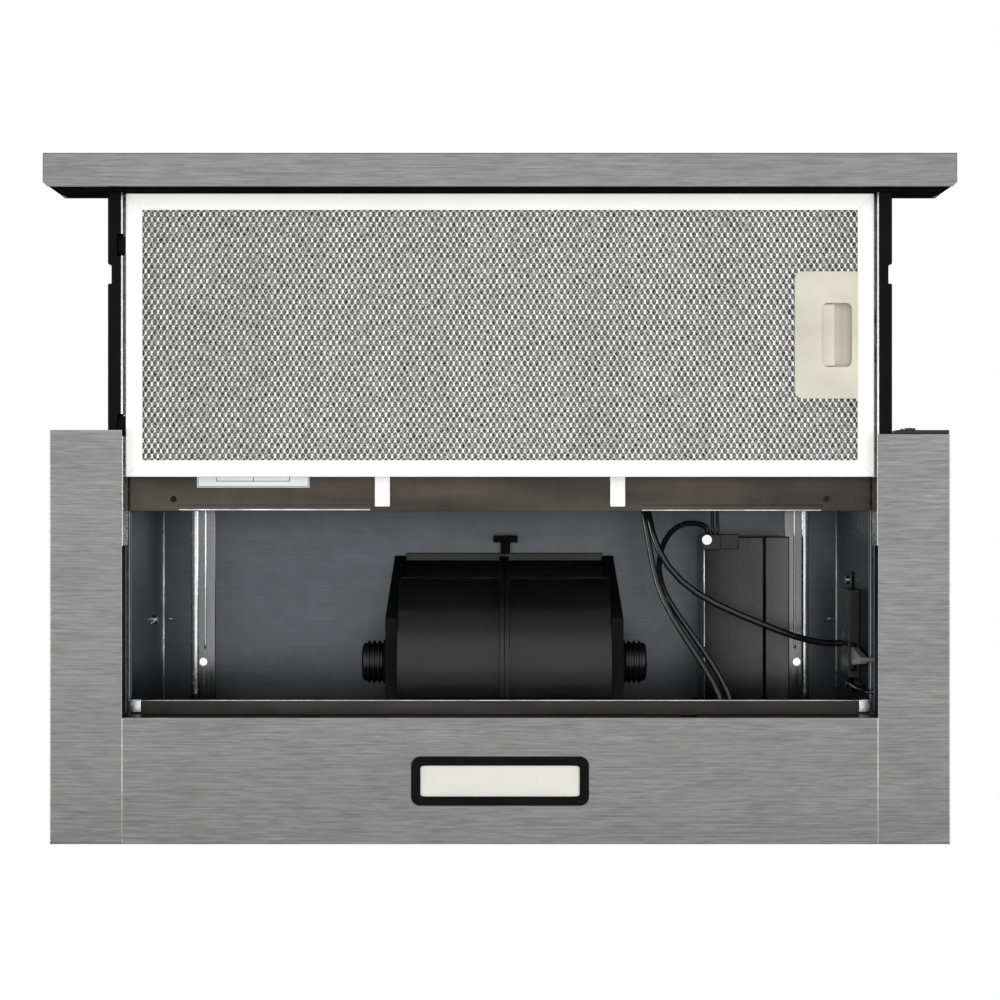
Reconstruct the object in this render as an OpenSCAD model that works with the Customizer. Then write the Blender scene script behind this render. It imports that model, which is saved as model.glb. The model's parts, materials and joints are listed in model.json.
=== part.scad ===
// Telescopic under-cabinet range hood, drawn with its drawer pulled out.
// Frame: the origin is the middle of the four cabinet fixing holes, on top of the roof.
// +X is to the right seen from the front, -Y is the front, +Z is up. Millimetres.

/* [Body] */
// Overall width of the body and of the front bar
body_w = 598; // [560:1:900]
// Depth of the fixed body, front edge to rear edge
body_d = 275; // [225:1:360]
// Height from the underside strips to the top of the roof
body_h = 151; // [145:1:220]
// Thickness of the sheet steel
sheet = 1; // [0.8:0.1:1.4]
// Distance from the body's front edge back to the middle of the fixing holes
front_to_middle = 97; // [85:1:110]
// Width of each side strip of the underside
side_strip_w = 48; // [44:1:70]
// Depth of the rear strip that holds the lamp
rear_strip_d = 84; // [74:1:110]
// Height of the low tray that the drawer slides in
tray_h = 32; // [31:1:45]
// Height of the inner filter's shelves above the underside
shelf_h = 24; // [23.5:0.5:26]
// Depth of the front shelf
front_shelf_d = 54; // [40:1:60]
// Depth of the lip of the rear shelf
rear_shelf_lip = 9; // [6:1:14]
// Gap left between assembled pieces
seam = 0.1; // [0.05:0.05:0.2]

/* [Fixing] */
// Spacing of the cabinet fixing holes across the hood
fixing_x = 442; // [380:1:700]
// Spacing of the cabinet fixing holes front to back
fixing_y = 140; // [120:1:150]
// Diameter of each cabinet fixing hole
fixing_hole_d = 6; // [4:0.5:8]
// Width of the stiffening strips behind the fixing holes
fixing_strip_w = 18; // [14:1:24]

/* [Outlet] */
// Outside diameter of the outlet spigot, for a duct of nominal 120 mm
outlet_d = 119; // [98:1:123]
// Height of the spigot above the roof
outlet_h = 34; // [28:1:60]
// Wall of the spigot
outlet_wall = 2.5; // [2:0.5:4]
// Thickness of each backdraft flap
flap_t = 1.6; // [1.2:0.2:2]

/* [Drawer] */
// How far the drawer slides
travel = 153; // [120:1:156]
// Gap between the front bar and the body when the drawer is shut
closed_gap = 5.5; // [4.5:0.5:10]
// Depth of the front bar
bar_d = 22; // [18:1:40]
// Height of the front bar
bar_h = 49; // [40:1:70]
// How far the front bar hangs below the underside
bar_drop = 19; // [8:1:25]
// Width of each black rail cover
rail_cover_w = 8.8; // [7:0.2:12]
// Height of the rails
rail_h = 17.2; // [15:0.2:18]
// Thickness of the steel runners
runner_t = 1.2; // [1:0.1:1.5]

/* [Grease filter] */
// Thickness of the grease filter
filter_t = 9; // [8:0.5:10]
// Width of the filter's border
filter_border = 11; // [8:0.5:16]
// Height of the filter's face above the underside
filter_recess = 5; // [4.5:0.5:6]
// Side clearance between filter and runner
filter_play = 1.5; // [1.5:0.1:2.5]
// Gap between the shut filter and the rear strip
filter_rear_gap = 7; // [3:0.5:15]

/* [Filter latch] */
// Width of the latch plate, across the hood
latch_w = 42; // [38:1:60]
// Length of the latch plate, front to back
latch_l = 84.7; // [70:0.1:110]
// Width of the finger pocket
pocket_w = 20; // [18:0.5:24]
// Length of the finger pocket
pocket_l = 42.7; // [30:0.1:60]
// Travel of the latch slider
latch_travel = 7; // [4:0.5:7]

/* [Blower] */
// Sideways offset of the blower and the outlet
blower_x = 3; // [-10:1:10]
// Distance of the fan axis behind the fixing middle
fan_y = 64; // [60:1:70]
// Depth of the fan axis below the roof's top face
fan_drop = 69; // [66:1:74]
// Width of the fan housing, without its side plates
scroll_w = 146; // [120:1:170]
// Radius of the fan wheels
wheel_r = 44; // [38:0.5:45]
// Radius of the air inlets
inlet_r = 38; // [30:0.5:40]
// Wall of the moulded fan housing
scroll_wall = 2; // [1.5:0.1:2.5]
// Radius of the motor's can
motor_r = 32; // [26:0.5:33]
// Radius of the motor shaft
shaft_r = 4; // [3:0.5:5]

/* [Lamp] */
// Width of the lamp bezel
bezel_w = 118; // [90:1:160]
// Depth of the lamp bezel
bezel_d = 32.5; // [26:0.5:45]
// Width of the lens
lens_w = 106; // [80:1:140]
// Depth of the lens
lens_d = 20.5; // [16:0.5:30]

/* [Electrics] */
// Width of the junction box
box_w = 62; // [50:1:70]
// Length of the junction box
box_l = 125; // [110:1:130]
// Height of the junction box
box_h = 45; // [36:1:50]
// Gap between the junction box and the right stiffening strip
box_strip_gap = 3; // [2:1:20]
// Travel of the lamp slide switch
lamp_throw = 8; // [5:1:9]
// Travel of the fan speed slide switch
speed_throw = 14; // [8:1:14]
// Diameter of the thicker leads
lead_d = 5; // [4:0.1:5.2]
// Diameter of the thinner leads
thin_lead_d = 4.4; // [3.4:0.1:4.6]

/* [Hidden] */
$fn = 48;

// Colours
steel = [0.62, 0.62, 0.63];
galvanised = [0.50, 0.49, 0.46];
black = [0.06, 0.06, 0.07];
pale = [0.93, 0.93, 0.90];
beige = [0.80, 0.78, 0.67];
cream = [0.97, 0.95, 0.86];

// Main planes of the body
body_half = body_w / 2;
open_half = body_half - side_strip_w;
front_y = -front_to_middle;
rear_y = front_y + body_d;
open_rear_y = rear_y - rear_strip_d;
under_z = -body_h;
tray_z = under_z + tray_h;
shelf_z = under_z + shelf_h;
roof_z = -sheet;

// Drawer, drawn pulled out
running_gap = 0.8;
bar_rear_y = front_y - closed_gap - travel;
bar_front_y = bar_rear_y - bar_d;
bar_z = under_z - bar_drop;
rail_z = under_z + sheet + 1.9;
runner_x = open_half;
cover_x = runner_x + runner_t;
rail_rear_gap = 45;
rail_rear_y = rear_y - rail_rear_gap - travel;
rail_notch_y = bar_rear_y + 48;
rail_notch_l = 13;
rail_notch_depth = 2.4;
channel_t = 1;
channel_inner_x = cover_x + 0.3;
channel_outer_x = cover_x + rail_cover_w + running_gap + channel_t;
channel_z = rail_z - running_gap - channel_t;
channel_top_z = rail_z + rail_h + running_gap;

// Grease filter
filter_half = open_half - filter_play;
filter_front_y = bar_rear_y + 0.6;
filter_rear_y = open_rear_y - filter_rear_gap - travel;
filter_z = under_z + filter_recess;
filter_mid_y = (filter_front_y + filter_rear_y) / 2;
frame_lip = 1;
seat_z = filter_z + filter_t + 0.6;
seat_w = 11;
tongue_w = 12;
tongue_t = 1.2;
tongue_reach = 5;
tongue_y = 60;
slot_play = 1.2;

// Filter latch
latch_right = filter_half - filter_border;
latch_left = latch_right - latch_w;
latch_mid_y = filter_mid_y;
latch_z = filter_z - 1;
latch_wall = 1.6;
pocket_right = latch_right - 4;
pocket_left = pocket_right - pocket_w;
slider_t = 1.6;
slider_z = filter_z + filter_t - frame_lip - 2 * slider_t;
slider_w = pocket_l + 3;
bolt_w = 9;
bolt_y = 12;
grip_w = 8.7;
slider_left = latch_left + latch_wall + latch_travel + 0.6;

// Stiffening strips: thickness, and how far they reach past the front and rear fixing holes
strip_t = 2;
strip_past = [12, 30];

// Fan housing outline, in the plane across the fan axis
fan_z = -fan_drop;
neck_top_z = roof_z - seam;
tongue_r = 50;
scroll_growth = 0.044;
scroll_end = 200;
scroll_start = -50;
neck_front_y = -6;
neck_rear_y = fan_y + 41;
flange_w = 5;
flange_t = 3;
plate_t = 2.5;
plate_rim = 8;
housing_rib = 3;
housing_clear = 1;
outlet_y = (neck_front_y + neck_rear_y) / 2;
scroll_half_w = scroll_w / 2;
clip_w = 18;

function scroll_r(a) = tongue_r + scroll_growth * (a - scroll_start);
function scroll_point(a, grow) = [
    fan_y + (scroll_r(a) + grow) * cos(a),
    fan_z - (scroll_r(a) + grow) * sin(a)
];
function scroll_outline(grow, top) = concat(
    [[neck_front_y - grow, top]],
    [for (a = [scroll_end : -10 : scroll_start]) scroll_point(a, grow)],
    [[neck_rear_y + grow, top]]
);

// Outlet and flaps
outlet_r = outlet_d / 2;
bore_r = outlet_r - outlet_wall;
flap_r = bore_r - 4;
ledge_r = flap_r - 3;
collar_base_t = 3;
collar_base_r = outlet_r + 13;
ledge_z = collar_base_t + 5;
flap_z = ledge_z + 2 + 0.3;
hinge_y = 4.5;
hinge_r = 1.8;
hinge_z = flap_z + 2.1;
pin_r = 1.2;
pin_play = 0.06;
bearing_x = flap_r - 2.6;
flap_side_x = bearing_x - 0.5;

// Lamp
lamp_y = rear_y - rear_strip_d / 2;
lamp_cut_w = bezel_w - 6;
lamp_cut_d = bezel_d - 6;
lamp_collar_h = 8;
led_count = 6;

// Electrics on the right side
box_right = (fixing_x - fixing_strip_w) / 2 - box_strip_gap;
box_left = box_right - box_w;
box_front_y = -24;
box_z = roof_z - seam - box_h;
box_step_w = 19;
switch_t = 8;
switch_front_y = 12;
switch_l = 61;
switch_z = -89;
switch_h = 30;
lever_y = 58;
lever_z = -84;
lever_t = 4;
lever_gap = 0.5;
lever_foot_z = under_z + 27;
lever_foot_r = 1.8;
lever_x = open_half - 6.2;
panel_x = channel_outer_x + seam;
panel_d = 2.7;
panel_w = body_half - 0.5 - panel_x;
lamp_slot_z = under_z + 22.5;
speed_slot_z = under_z + 10.5;
slot_h = 3.6;
knob_w = 7;
knob_proud = 1.2;
stem_w = 4;
stem_h = 3;
knob_rest_x = panel_x + 11;
module_d = 14;
screw_head_r = 3.5;

// Routes of the leads, held inside the body all the way
switch_route = [
    [100, -84, -70], [100, -80, -70], [100.5, -74, -71], [102, -58, -78], [104, -40, -82],
    [108, -15, -87], [125, 8, -90], [148, 22, -91], [183, 36, -91], [207, 46, -87],
    [226, 50, -79], [234, 50.5, -76], [238, 50.5, -76], [242.9, 50.5, -76]
];
lamp_route = [
    [96, -84, -84], [96, -79, -84], [96.5, -72, -85], [98, -56, -88], [100, -40, -90],
    [105, -14, -94], [107, 7, -99], [118, 31, -105], [134, 54, -111], [147, 76, -115],
    [153, 88, -117], [151, 104, -120], [138, 121, -123], [112, 130, -127], [84, 134, -133],
    [70, 134, -134], [65, 134, -134], [58.1, 134, -134]
];
box_route = [
    [149, -26.1, -51], [149, -29, -51], [148, -33, -52], [132, -36, -61], [119, -29, -71],
    [112.5, -15, -80], [110.5, -3, -84], [112, 8, -92], [116, 18, -97], [124, 31, -101],
    [140, 52, -107], [153, 74, -112], [160, 88, -114], [158, 106, -116], [144, 127, -118],
    [116, 140, -122], [86, 143, -131], [72, 142, -134], [65, 142, -134], [58.1, 142, -134]
];
supply_route = [
    [153, -26.1, -50], [153, -30, -50], [152.5, -36, -51], [151, -56, -58],
    [150, -73, -62], [150, -79, -62], [150, -84, -62]
];
motor_route = [
    [146.9, 97, -16], [143, 97, -16], [137, 98, -16], [112, 112, -19], [86, 118, -19],
    [62, 118, -18], [51, 114, -16], [50, 110.2, -16], [50, 107.1, -16]
];
control_route = [
    [247, 73.1, -72], [247, 76, -72], [247, 78.6, -74], [247, 80, -84], [247.3, 80, -100],
    [247.5, 80, -114], [248.2, 80, -121.7], [252, 80, -125.2], [260, 79, -126],
    [271, 74, -127.5], [280, 57, -131], [283, 20, -134], [284, -25, -135],
    [284, -70, -136], [284, -75, -136], [284, -80.2, -136]
];

// Shapes that repeat

// Block given by its lowest and highest corners
module block(low, high) {
    translate(low)
        cube(high - low);
}

// Upright plate with rounded corners, lying flat
module rounded_plate(w, d, r, h) {
    linear_extrude(h)
        union() {
            square([w - 2 * r, d], center = true);
            square([w, d - 2 * r], center = true);
            for (sx = [-1, 1], sy = [-1, 1])
                translate([sx * (w / 2 - r), sy * (d / 2 - r)])
                    circle(r);
        }
}

// Solid whose outline is drawn in Y and Z, and runs along X
module along_x(x0, x1) {
    translate([x0, 0, 0])
        rotate([90, 0, 90])
            linear_extrude(x1 - x0)
                children();
}

// Solid whose outline is drawn in X and Z, and runs along Y
module along_y(y0, y1) {
    translate([0, y1, 0])
        rotate([90, 0, 0])
            linear_extrude(y1 - y0)
                children();
}

// Round bar along X
module rod_x(x0, x1, r) {
    translate([x0, 0, 0])
        rotate([0, 90, 0])
            cylinder(h = x1 - x0, r = r);
}

// Both sides of the hood
module both_sides() {
    children();
    mirror([1, 0, 0])
        children();
}

// Lead swept along a route: rings of points joined into one closed tube
lead_sides = 10;

function route_steps(route) = [
    for (i = [0 : len(route) - 2])
        let (a = route[max(i - 1, 0)], b = route[i], c = route[i + 1],
             d = route[min(i + 2, len(route) - 1)])
            (b + c) / 2 + (b + c - a - d) / 16
];
function ring_points(p, dir, r) =
    let (side = cross(dir, abs(dir[2]) > 0.9 * norm(dir) ? [0, 1, 0] : [0, 0, 1]),
         u = side / norm(side), v = cross(dir, u) / norm(dir))
        [for (k = [0 : lead_sides - 1])
            let (a = 360 * (k + 0.5) / lead_sides)
                p + r * (cos(a) * u + sin(a) * v)];
function smooth_route(route) =
    let (mid = route_steps(route))
        concat([route[0]],
            [for (i = [1 : len(route) - 2]) route[i] / 2 + (mid[i - 1] + mid[i]) / 4],
            [route[len(route) - 1]]);

module lead(route, d) {
    line = smooth_route(route);
    last = len(line) - 1;
    rings = [for (i = [0 : last])
        ring_points(line[i], line[min(i + 1, last)] - line[max(i - 1, 0)], d / 2)];
    sides = [for (i = [0 : last - 1], k = [0 : lead_sides - 1])
        let (n = (k + 1) % lead_sides, a = i * lead_sides, b = a + lead_sides)
            [a + k, a + n, b + n, b + k]];
    polyhedron(
        points = [for (ring = rings, point = ring) point],
        faces = concat(
            [[for (k = [lead_sides - 1 : -1 : 0]) k]],
            sides,
            [[for (k = [0 : lead_sides - 1]) last * lead_sides + k]]
        )
    );
}

// Sheet metal body

module fixing_holes(depth) {
    for (sx = [-1, 1], sy = [-1, 1])
        translate([sx * fixing_x / 2, sy * fixing_y / 2, -depth])
            cylinder(h = 2 * depth, d = fixing_hole_d);
}

gland_x = box_left + 31;
gland_y = 60;
gland_r = 8;

module roof_panel() {
    color(galvanised)
        difference() {
            block([-open_half - sheet, front_y, roof_z], [open_half + sheet, rear_y, 0]);
            fixing_holes(2 * sheet);
            translate([blower_x, outlet_y, -2 * sheet])
                cylinder(h = 4 * sheet, r = ledge_r);
            translate([gland_x, gland_y, -2 * sheet])
                cylinder(h = 4 * sheet, r = gland_r + seam);
        }
}

module side_panel_blank() {
    block(
        [open_half, front_y + sheet + seam, tray_z - sheet],
        [open_half + sheet, rear_y - sheet - seam, roof_z - seam]
    );
}

module side_panel_left() {
    color(galvanised)
        mirror([1, 0, 0])
            side_panel_blank();
}

module side_panel_right() {
    color(galvanised)
        difference() {
            side_panel_blank();
            switch_screw_holes();
        }
}

module back_panel() {
    color(galvanised)
        block(
            [-open_half - sheet, rear_y - sheet, tray_z + seam],
            [open_half + sheet, rear_y, roof_z - seam]
        );
}

hem_inner_x = [-87, 95];
hem_end = 33;

// Front wall folded back into the shelf that carries the inner filter
module front_panel() {
    shelf_rear_y = front_y + front_shelf_d;
    half = open_half - seam;
    color(galvanised)
        difference() {
            union() {
                block([-half, front_y, shelf_z], [half, front_y + sheet, roof_z - seam]);
                block([-half, front_y, shelf_z], [half, shelf_rear_y, shelf_z + sheet]);
                block([-half + hem_end, shelf_rear_y - 4, shelf_z - 0.8],
                      [hem_inner_x[0], shelf_rear_y, shelf_z]);
                block([hem_inner_x[1], shelf_rear_y - 4, shelf_z - 0.8],
                      [half - hem_end, shelf_rear_y, shelf_z]);
            }
            for (sx = [-1, 1])
                translate([sx * (open_half - 30), shelf_rear_y - 8, shelf_z - 5])
                    cylinder(h = 10, r = 2.2);
        }
}

// Side of the tray: bottom strip, outer wall and top, folded from one sheet
module tray_side(front_edge) {
    difference() {
        block([open_half, front_edge, under_z], [body_half, rear_y - sheet - seam, tray_z]);
        block([open_half - 1, front_edge - 1, under_z + sheet],
              [body_half - sheet, rear_y, tray_z - sheet]);
        block([open_half - 1, front_edge - 1, tray_z - 2 * sheet],
              [open_half + sheet + seam, rear_y, tray_z + 1]);
    }
}

module underside_left() {
    cheek_x = channel_outer_x + seam;
    color(steel)
        mirror([1, 0, 0])
            union() {
                tray_side(front_y);
                block([cheek_x, front_y, under_z + sheet / 2],
                      [body_half - sheet / 2, front_y + sheet, tray_z - sheet / 2]);
            }
}

module underside_right() {
    color(steel)
        tray_side(front_y + panel_d + seam);
}

// Rear strip with the lamp cut-out, folded up into the low rear wall
module lamp_panel() {
    half = open_half - seam;
    color(steel)
        difference() {
            union() {
                block([-half, open_rear_y, under_z], [half, rear_y, under_z + sheet]);
                block([-body_half, rear_y - sheet, under_z], [body_half, rear_y, tray_z]);
            }
            translate([0, lamp_y, under_z - 1])
                rounded_plate(lamp_cut_w, lamp_cut_d, 4, 3 * sheet + 2);
        }
}

shelf_slot_x = 126.5;
shelf_slot_w = 11;

module rear_shelf() {
    half = open_half - 2;
    wall_y = open_rear_y + seam;
    color(galvanised)
        difference() {
            union() {
                block([-half, wall_y, under_z + sheet + seam], [half, wall_y + sheet, shelf_z + sheet]);
                block([-half, open_rear_y - rear_shelf_lip, shelf_z],
                      [half, wall_y + sheet, shelf_z + sheet]);
            }
            for (sx = [-1, 1])
                block([sx * shelf_slot_x - shelf_slot_w / 2, wall_y - 1, under_z + 4],
                      [sx * shelf_slot_x + shelf_slot_w / 2, wall_y + sheet + 1, shelf_z - 2]);
            along_x(blower_x - scroll_half_w - housing_clear, blower_x + scroll_half_w + housing_clear)
                polygon(scroll_outline(housing_rib + housing_clear, roof_z));
        }
}

clip_x = 79.5;

// White clips that hold the front edge of the inner filter
module shelf_clips() {
    clip_rear_y = front_y + front_shelf_d - 3;
    color("white")
        for (sx = [-1, 1])
            union() {
                block([sx * clip_x - 5, clip_rear_y - 24, shelf_z - 2.9],
                      [sx * clip_x + 5, clip_rear_y, shelf_z - 0.9]);
                block([sx * clip_x - 5, clip_rear_y - 24, shelf_z - 2.9],
                      [sx * clip_x + 5, clip_rear_y - 18, shelf_z - seam]);
            }
}

module corner_tabs() {
    tab_x = open_half - 8;
    color("silver")
        both_sides()
            union() {
                block([tab_x, open_rear_y - 10, shelf_z - 6], [open_half - 0.6, open_rear_y - 9, shelf_z - seam]);
                block([tab_x, open_rear_y - 10, shelf_z - 1.2], [open_half - 0.6, open_rear_y - 1, shelf_z - seam]);
            }
}

label_w = 76;

module rating_label() {
    color("white")
        block([-open_half + 46, front_y + 8, shelf_z - 0.4],
              [-open_half + 46 + label_w, front_y + 38, shelf_z - seam]);
}

module fixing_strips() {
    color(galvanised)
        difference() {
            for (sx = [-1, 1])
                block([sx * fixing_x / 2 - fixing_strip_w / 2, -fixing_y / 2 - strip_past[0],
                       roof_z - seam - strip_t],
                      [sx * fixing_x / 2 + fixing_strip_w / 2, fixing_y / 2 + strip_past[1],
                       roof_z - seam]);
            fixing_holes(10);
        }
}

// Fixed channels that the drawer's rails run in
module guide_channels() {
    rear = rail_rear_y + travel + 14;
    color(galvanised)
        both_sides()
            difference() {
                block([channel_inner_x, front_y + 4, channel_z],
                      [channel_outer_x, rear, channel_top_z + channel_t]);
                block([channel_inner_x - 1, front_y, channel_z + channel_t],
                      [channel_outer_x - channel_t, rear + 1, channel_top_z]);
            }
}

module drawer_buffers() {
    buffer_y = rail_rear_y + travel + 0.5;
    color(black)
        both_sides()
            block([channel_inner_x + 0.5, buffer_y, channel_z + channel_t + seam],
                  [channel_outer_x - channel_t - seam, buffer_y + 6, channel_top_z - seam]);
}

// Outlet with its two backdraft flaps

collar_screw_r = outlet_r + 7.5;
collar_screw_a = [45, 135, 225, 315];

module at_outlet() {
    translate([blower_x, outlet_y, 0])
        children();
}

// Block inside the spigot that holds one end of a flap's hinge pin
module flap_bearing(sx, sy) {
    mirror([sx < 0 ? 1 : 0, 0, 0])
        mirror([0, sy < 0 ? 1 : 0, 0])
            difference() {
                block([bearing_x, hinge_y - 2.4, ledge_z + 1], [bore_r + 0.6, hinge_y + 2.4, hinge_z + 2.6]);
                translate([0, hinge_y, hinge_z])
                    rod_x(bearing_x - 1, bore_r - 1, pin_r + pin_play);
            }
}

module outlet_collar() {
    color(black)
        at_outlet()
            difference() {
                union() {
                    translate([0, 0, seam])
                        cylinder(h = collar_base_t, r = collar_base_r, $fn = 96);
                    translate([0, 0, seam])
                        cylinder(h = outlet_h - seam, r = outlet_r, $fn = 96);
                }
                translate([0, 0, -1])
                    cylinder(h = ledge_z + 1, r = ledge_r, $fn = 96);
                translate([0, 0, ledge_z - 1])
                    cylinder(h = outlet_h, r = ledge_r, $fn = 96);
                translate([0, 0, ledge_z + 2])
                    cylinder(h = outlet_h, r = bore_r, $fn = 96);
                for (a = collar_screw_a)
                    rotate([0, 0, a])
                        translate([collar_screw_r, 0, -1])
                            cylinder(h = 10, r = 1.8);
            }
    color(black)
        at_outlet()
            for (sx = [-1, 1], sy = [-1, 1])
                flap_bearing(sx, sy);
}

// Half disc with a hinge barrel along its straight edge, on the +Y side
module flap_blank() {
    union() {
        difference() {
            translate([0, 0, flap_z])
                cylinder(h = flap_t, r = flap_r, $fn = 96);
            block([-flap_r, -flap_r, flap_z - 1], [flap_r, hinge_y - 0.5, flap_z + 10]);
            both_sides()
                block([flap_side_x, 0, flap_z - 1], [flap_r, hinge_y + 5, flap_z + 10]);
        }
        translate([0, hinge_y, hinge_z])
            rod_x(-flap_r + 7, flap_r - 7, hinge_r);
        block([-flap_r + 7, hinge_y - 0.5, flap_z], [flap_r - 7, hinge_y + 1.5, hinge_z]);
        translate([0, hinge_y, hinge_z])
            rod_x(-bore_r + 2, bore_r - 2, pin_r);
    }
}

module flap_front() {
    color(black)
        at_outlet()
            mirror([0, 1, 0])
                flap_blank();
}

module flap_rear() {
    color(black)
        at_outlet()
            flap_blank();
}

module cable_gland() {
    color(black)
        translate([gland_x, gland_y, 0])
            difference() {
                union() {
                    translate([0, 0, -3])
                        cylinder(h = 6, r = gland_r);
                    translate([0, 0, seam])
                        cylinder(h = 2, r = gland_r + 4);
                }
                translate([0, 0, -4])
                    cylinder(h = 10, r = 3.6);
            }
}

// Fan housing

module at_fan(side) {
    translate([blower_x, 0, 0])
        scale([side, 1, 1])
            children();
}

// One moulded half: scroll wall, joint rib at the middle and flange under the roof
module scroll_half() {
    rib_t = 3.3;
    difference() {
        union() {
            along_x(0, scroll_half_w)
                polygon(scroll_outline(0, neck_top_z));
            along_x(0, rib_t)
                polygon(scroll_outline(housing_rib, neck_top_z));
            block([0, neck_front_y - flange_w, neck_top_z - flange_t],
                  [scroll_half_w, neck_rear_y + flange_w, neck_top_z]);
        }
        along_x(-1, scroll_half_w - scroll_wall)
            polygon(scroll_outline(-scroll_wall, 5));
        translate([0, fan_y, fan_z])
            rod_x(scroll_half_w - 10, scroll_half_w + 10, inlet_r);
    }
}

module scroll_left() {
    color(black)
        at_fan(-1)
            translate([0.05, 0, 0])
                scroll_half();
}

module scroll_right() {
    color(black)
        at_fan(1)
            translate([0.05, 0, 0])
                scroll_half();
}

plate_bottom_z = fan_z - 51;
plate_outline = [
    [neck_front_y - 3, neck_top_z - flange_t - 1], [fan_y - 34, plate_bottom_z],
    [fan_y + 30, plate_bottom_z], [fan_y + 54, plate_bottom_z + 38],
    [neck_rear_y + 3, neck_top_z - flange_t - 1]
];
inlet_spokes = 8;
hub_r = 15.5;

// Side plate with the inlet grille and the holder of the fan's outer bearing
module inlet_plate() {
    x0 = scroll_half_w + 0.1;
    difference() {
        union() {
            difference() {
                along_x(x0, x0 + plate_rim)
                    polygon(plate_outline);
                along_x(x0 + plate_t, x0 + plate_rim + 1)
                    translate([fan_y, fan_z])
                        scale(0.94)
                            translate([-fan_y, -fan_z])
                                polygon(plate_outline);
            }
            translate([0, fan_y, fan_z])
                rod_x(x0, x0 + plate_rim, inlet_r + 3);
        }
        translate([0, fan_y, fan_z])
            rod_x(x0 - 1, x0 + plate_rim + 1, inlet_r);
    }
    translate([0, fan_y, fan_z])
        difference() {
            union() {
                rod_x(x0 + 5, x0 + 12, hub_r);
                for (k = [0 : inlet_spokes - 1])
                    rotate([360 * k / inlet_spokes, 0, 0])
                        block([x0 + 5, -1.5, hub_r - 2], [x0 + plate_rim, 1.5, inlet_r + 1]);
            }
            rod_x(x0, x0 + 20, shaft_r + 2);
        }
}

module inlet_plate_left() {
    color(black)
        at_fan(-1)
            inlet_plate();
}

module inlet_plate_right() {
    color(black)
        at_fan(1)
            inlet_plate();
}

cap_x = scroll_half_w + 12.2;
cap_l = 15;
bearing_r = shaft_r + pin_play;

module bearing_caps() {
    color(black)
        for (side = [-1, 1])
            at_fan(side)
                translate([0, fan_y, fan_z])
                    difference() {
                        union() {
                            rod_x(cap_x, cap_x + cap_l, 14);
                            rod_x(cap_x + 3, cap_x + 5, 15);
                            rod_x(cap_x + 9, cap_x + 11, 15);
                        }
                        rod_x(cap_x - 1, cap_x + cap_l - 4, bearing_r);
                    }
}

motor_half = 22;

module motor() {
    color("gray")
        translate([blower_x, fan_y, fan_z])
            difference() {
                union() {
                    rod_x(-motor_half, motor_half, motor_r);
                    rod_x(-motor_half - 5, motor_half + 5, 18);
                }
                rod_x(-60, 60, bearing_r);
            }
}

module motor_bracket() {
    color(galvanised)
        translate([blower_x, 0, 0])
            difference() {
                union() {
                    translate([0, fan_y, fan_z])
                        rod_x(-5, 5, motor_r + 3);
                    intersection() {
                        along_x(-1.5, 1.5)
                            polygon(scroll_outline(-scroll_wall - seam, neck_top_z - 10));
                        translate([0, fan_y, fan_z])
                            for (a = [30, 150, 270])
                                rotate([a, 0, 0])
                                    block([-1.5, -5, motor_r], [1.5, 5, 80]);
                    }
                }
                translate([0, fan_y, fan_z])
                    rod_x(-10, 10, motor_r + seam);
            }
}

module rotor_shaft() {
    color("silver")
        translate([blower_x, fan_y, fan_z])
            rod_x(-scroll_half_w - 20, scroll_half_w + 20, shaft_r);
}

blades = 28;
wheel_in = motor_half + 8;
wheel_out = scroll_half_w - 6;

module impeller() {
    translate([0, fan_y, fan_z])
        difference() {
            union() {
                rod_x(wheel_in, wheel_in + 2, wheel_r);
                rod_x(wheel_in, wheel_in + 14, 10);
                difference() {
                    rod_x(wheel_out - 3, wheel_out, wheel_r);
                    rod_x(wheel_out - 4, wheel_out + 1, wheel_r - 5);
                }
                for (k = [0 : blades - 1])
                    rotate([360 * k / blades, 0, 0])
                        translate([0, 0, wheel_r - 5])
                            rotate([35, 0, 0])
                                block([wheel_in, -0.5, -3], [wheel_out, 0.5, 3.5]);
            }
            rod_x(0, 200, shaft_r);
        }
}

module impeller_left() {
    color("dimgray")
        at_fan(-1)
            impeller();
}

module impeller_right() {
    color("dimgray")
        at_fan(1)
            impeller();
}

// Clip that holds the front of the fan housing to the roof
module housing_clip() {
    front = neck_front_y - flange_w - seam;
    color(black)
        translate([blower_x + 1, front, neck_top_z])
            union() {
                block([-clip_w / 2, -13, -11], [clip_w / 2, -8, -2]);
                block([-3.5, -10, -9], [3.5, 0, -2]);
                block([-3.5, -10, -4], [3.5, 0, 0]);
            }
}

// Lamp

module lamp_bezel() {
    color(black)
        translate([0, lamp_y, under_z])
            difference() {
                union() {
                    translate([0, 0, -1.4])
                        rounded_plate(bezel_w, bezel_d, 6, 1.4 - seam);
                    translate([0, 0, -1])
                        rounded_plate(lamp_cut_w - 1, lamp_cut_d - 1, 4, lamp_collar_h + 1);
                }
                translate([0, 0, -2])
                    rounded_plate(lens_w + 0.4, lens_d + 0.4, 3, lamp_collar_h + 3);
            }
}

module lamp_lens() {
    color(cream)
        translate([0, lamp_y, under_z])
            union() {
                translate([0, 0, -1])
                    rounded_plate(lens_w, lens_d, 3, 2.6);
                translate([0, 0, 1])
                    rounded_plate(lens_w - 2, lens_d - 2, 3, 5);
            }
}

module lamp_housing() {
    top = 21;
    color(pale)
        translate([0, lamp_y, under_z])
            difference() {
                translate([0, 0, lamp_collar_h + seam])
                    rounded_plate(lamp_cut_w + 4, lamp_cut_d + 2, 4, top - lamp_collar_h);
                translate([0, 0, lamp_collar_h - 1])
                    rounded_plate(lamp_cut_w, lamp_cut_d - 2, 3, top - lamp_collar_h - 1);
            }
}

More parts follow.
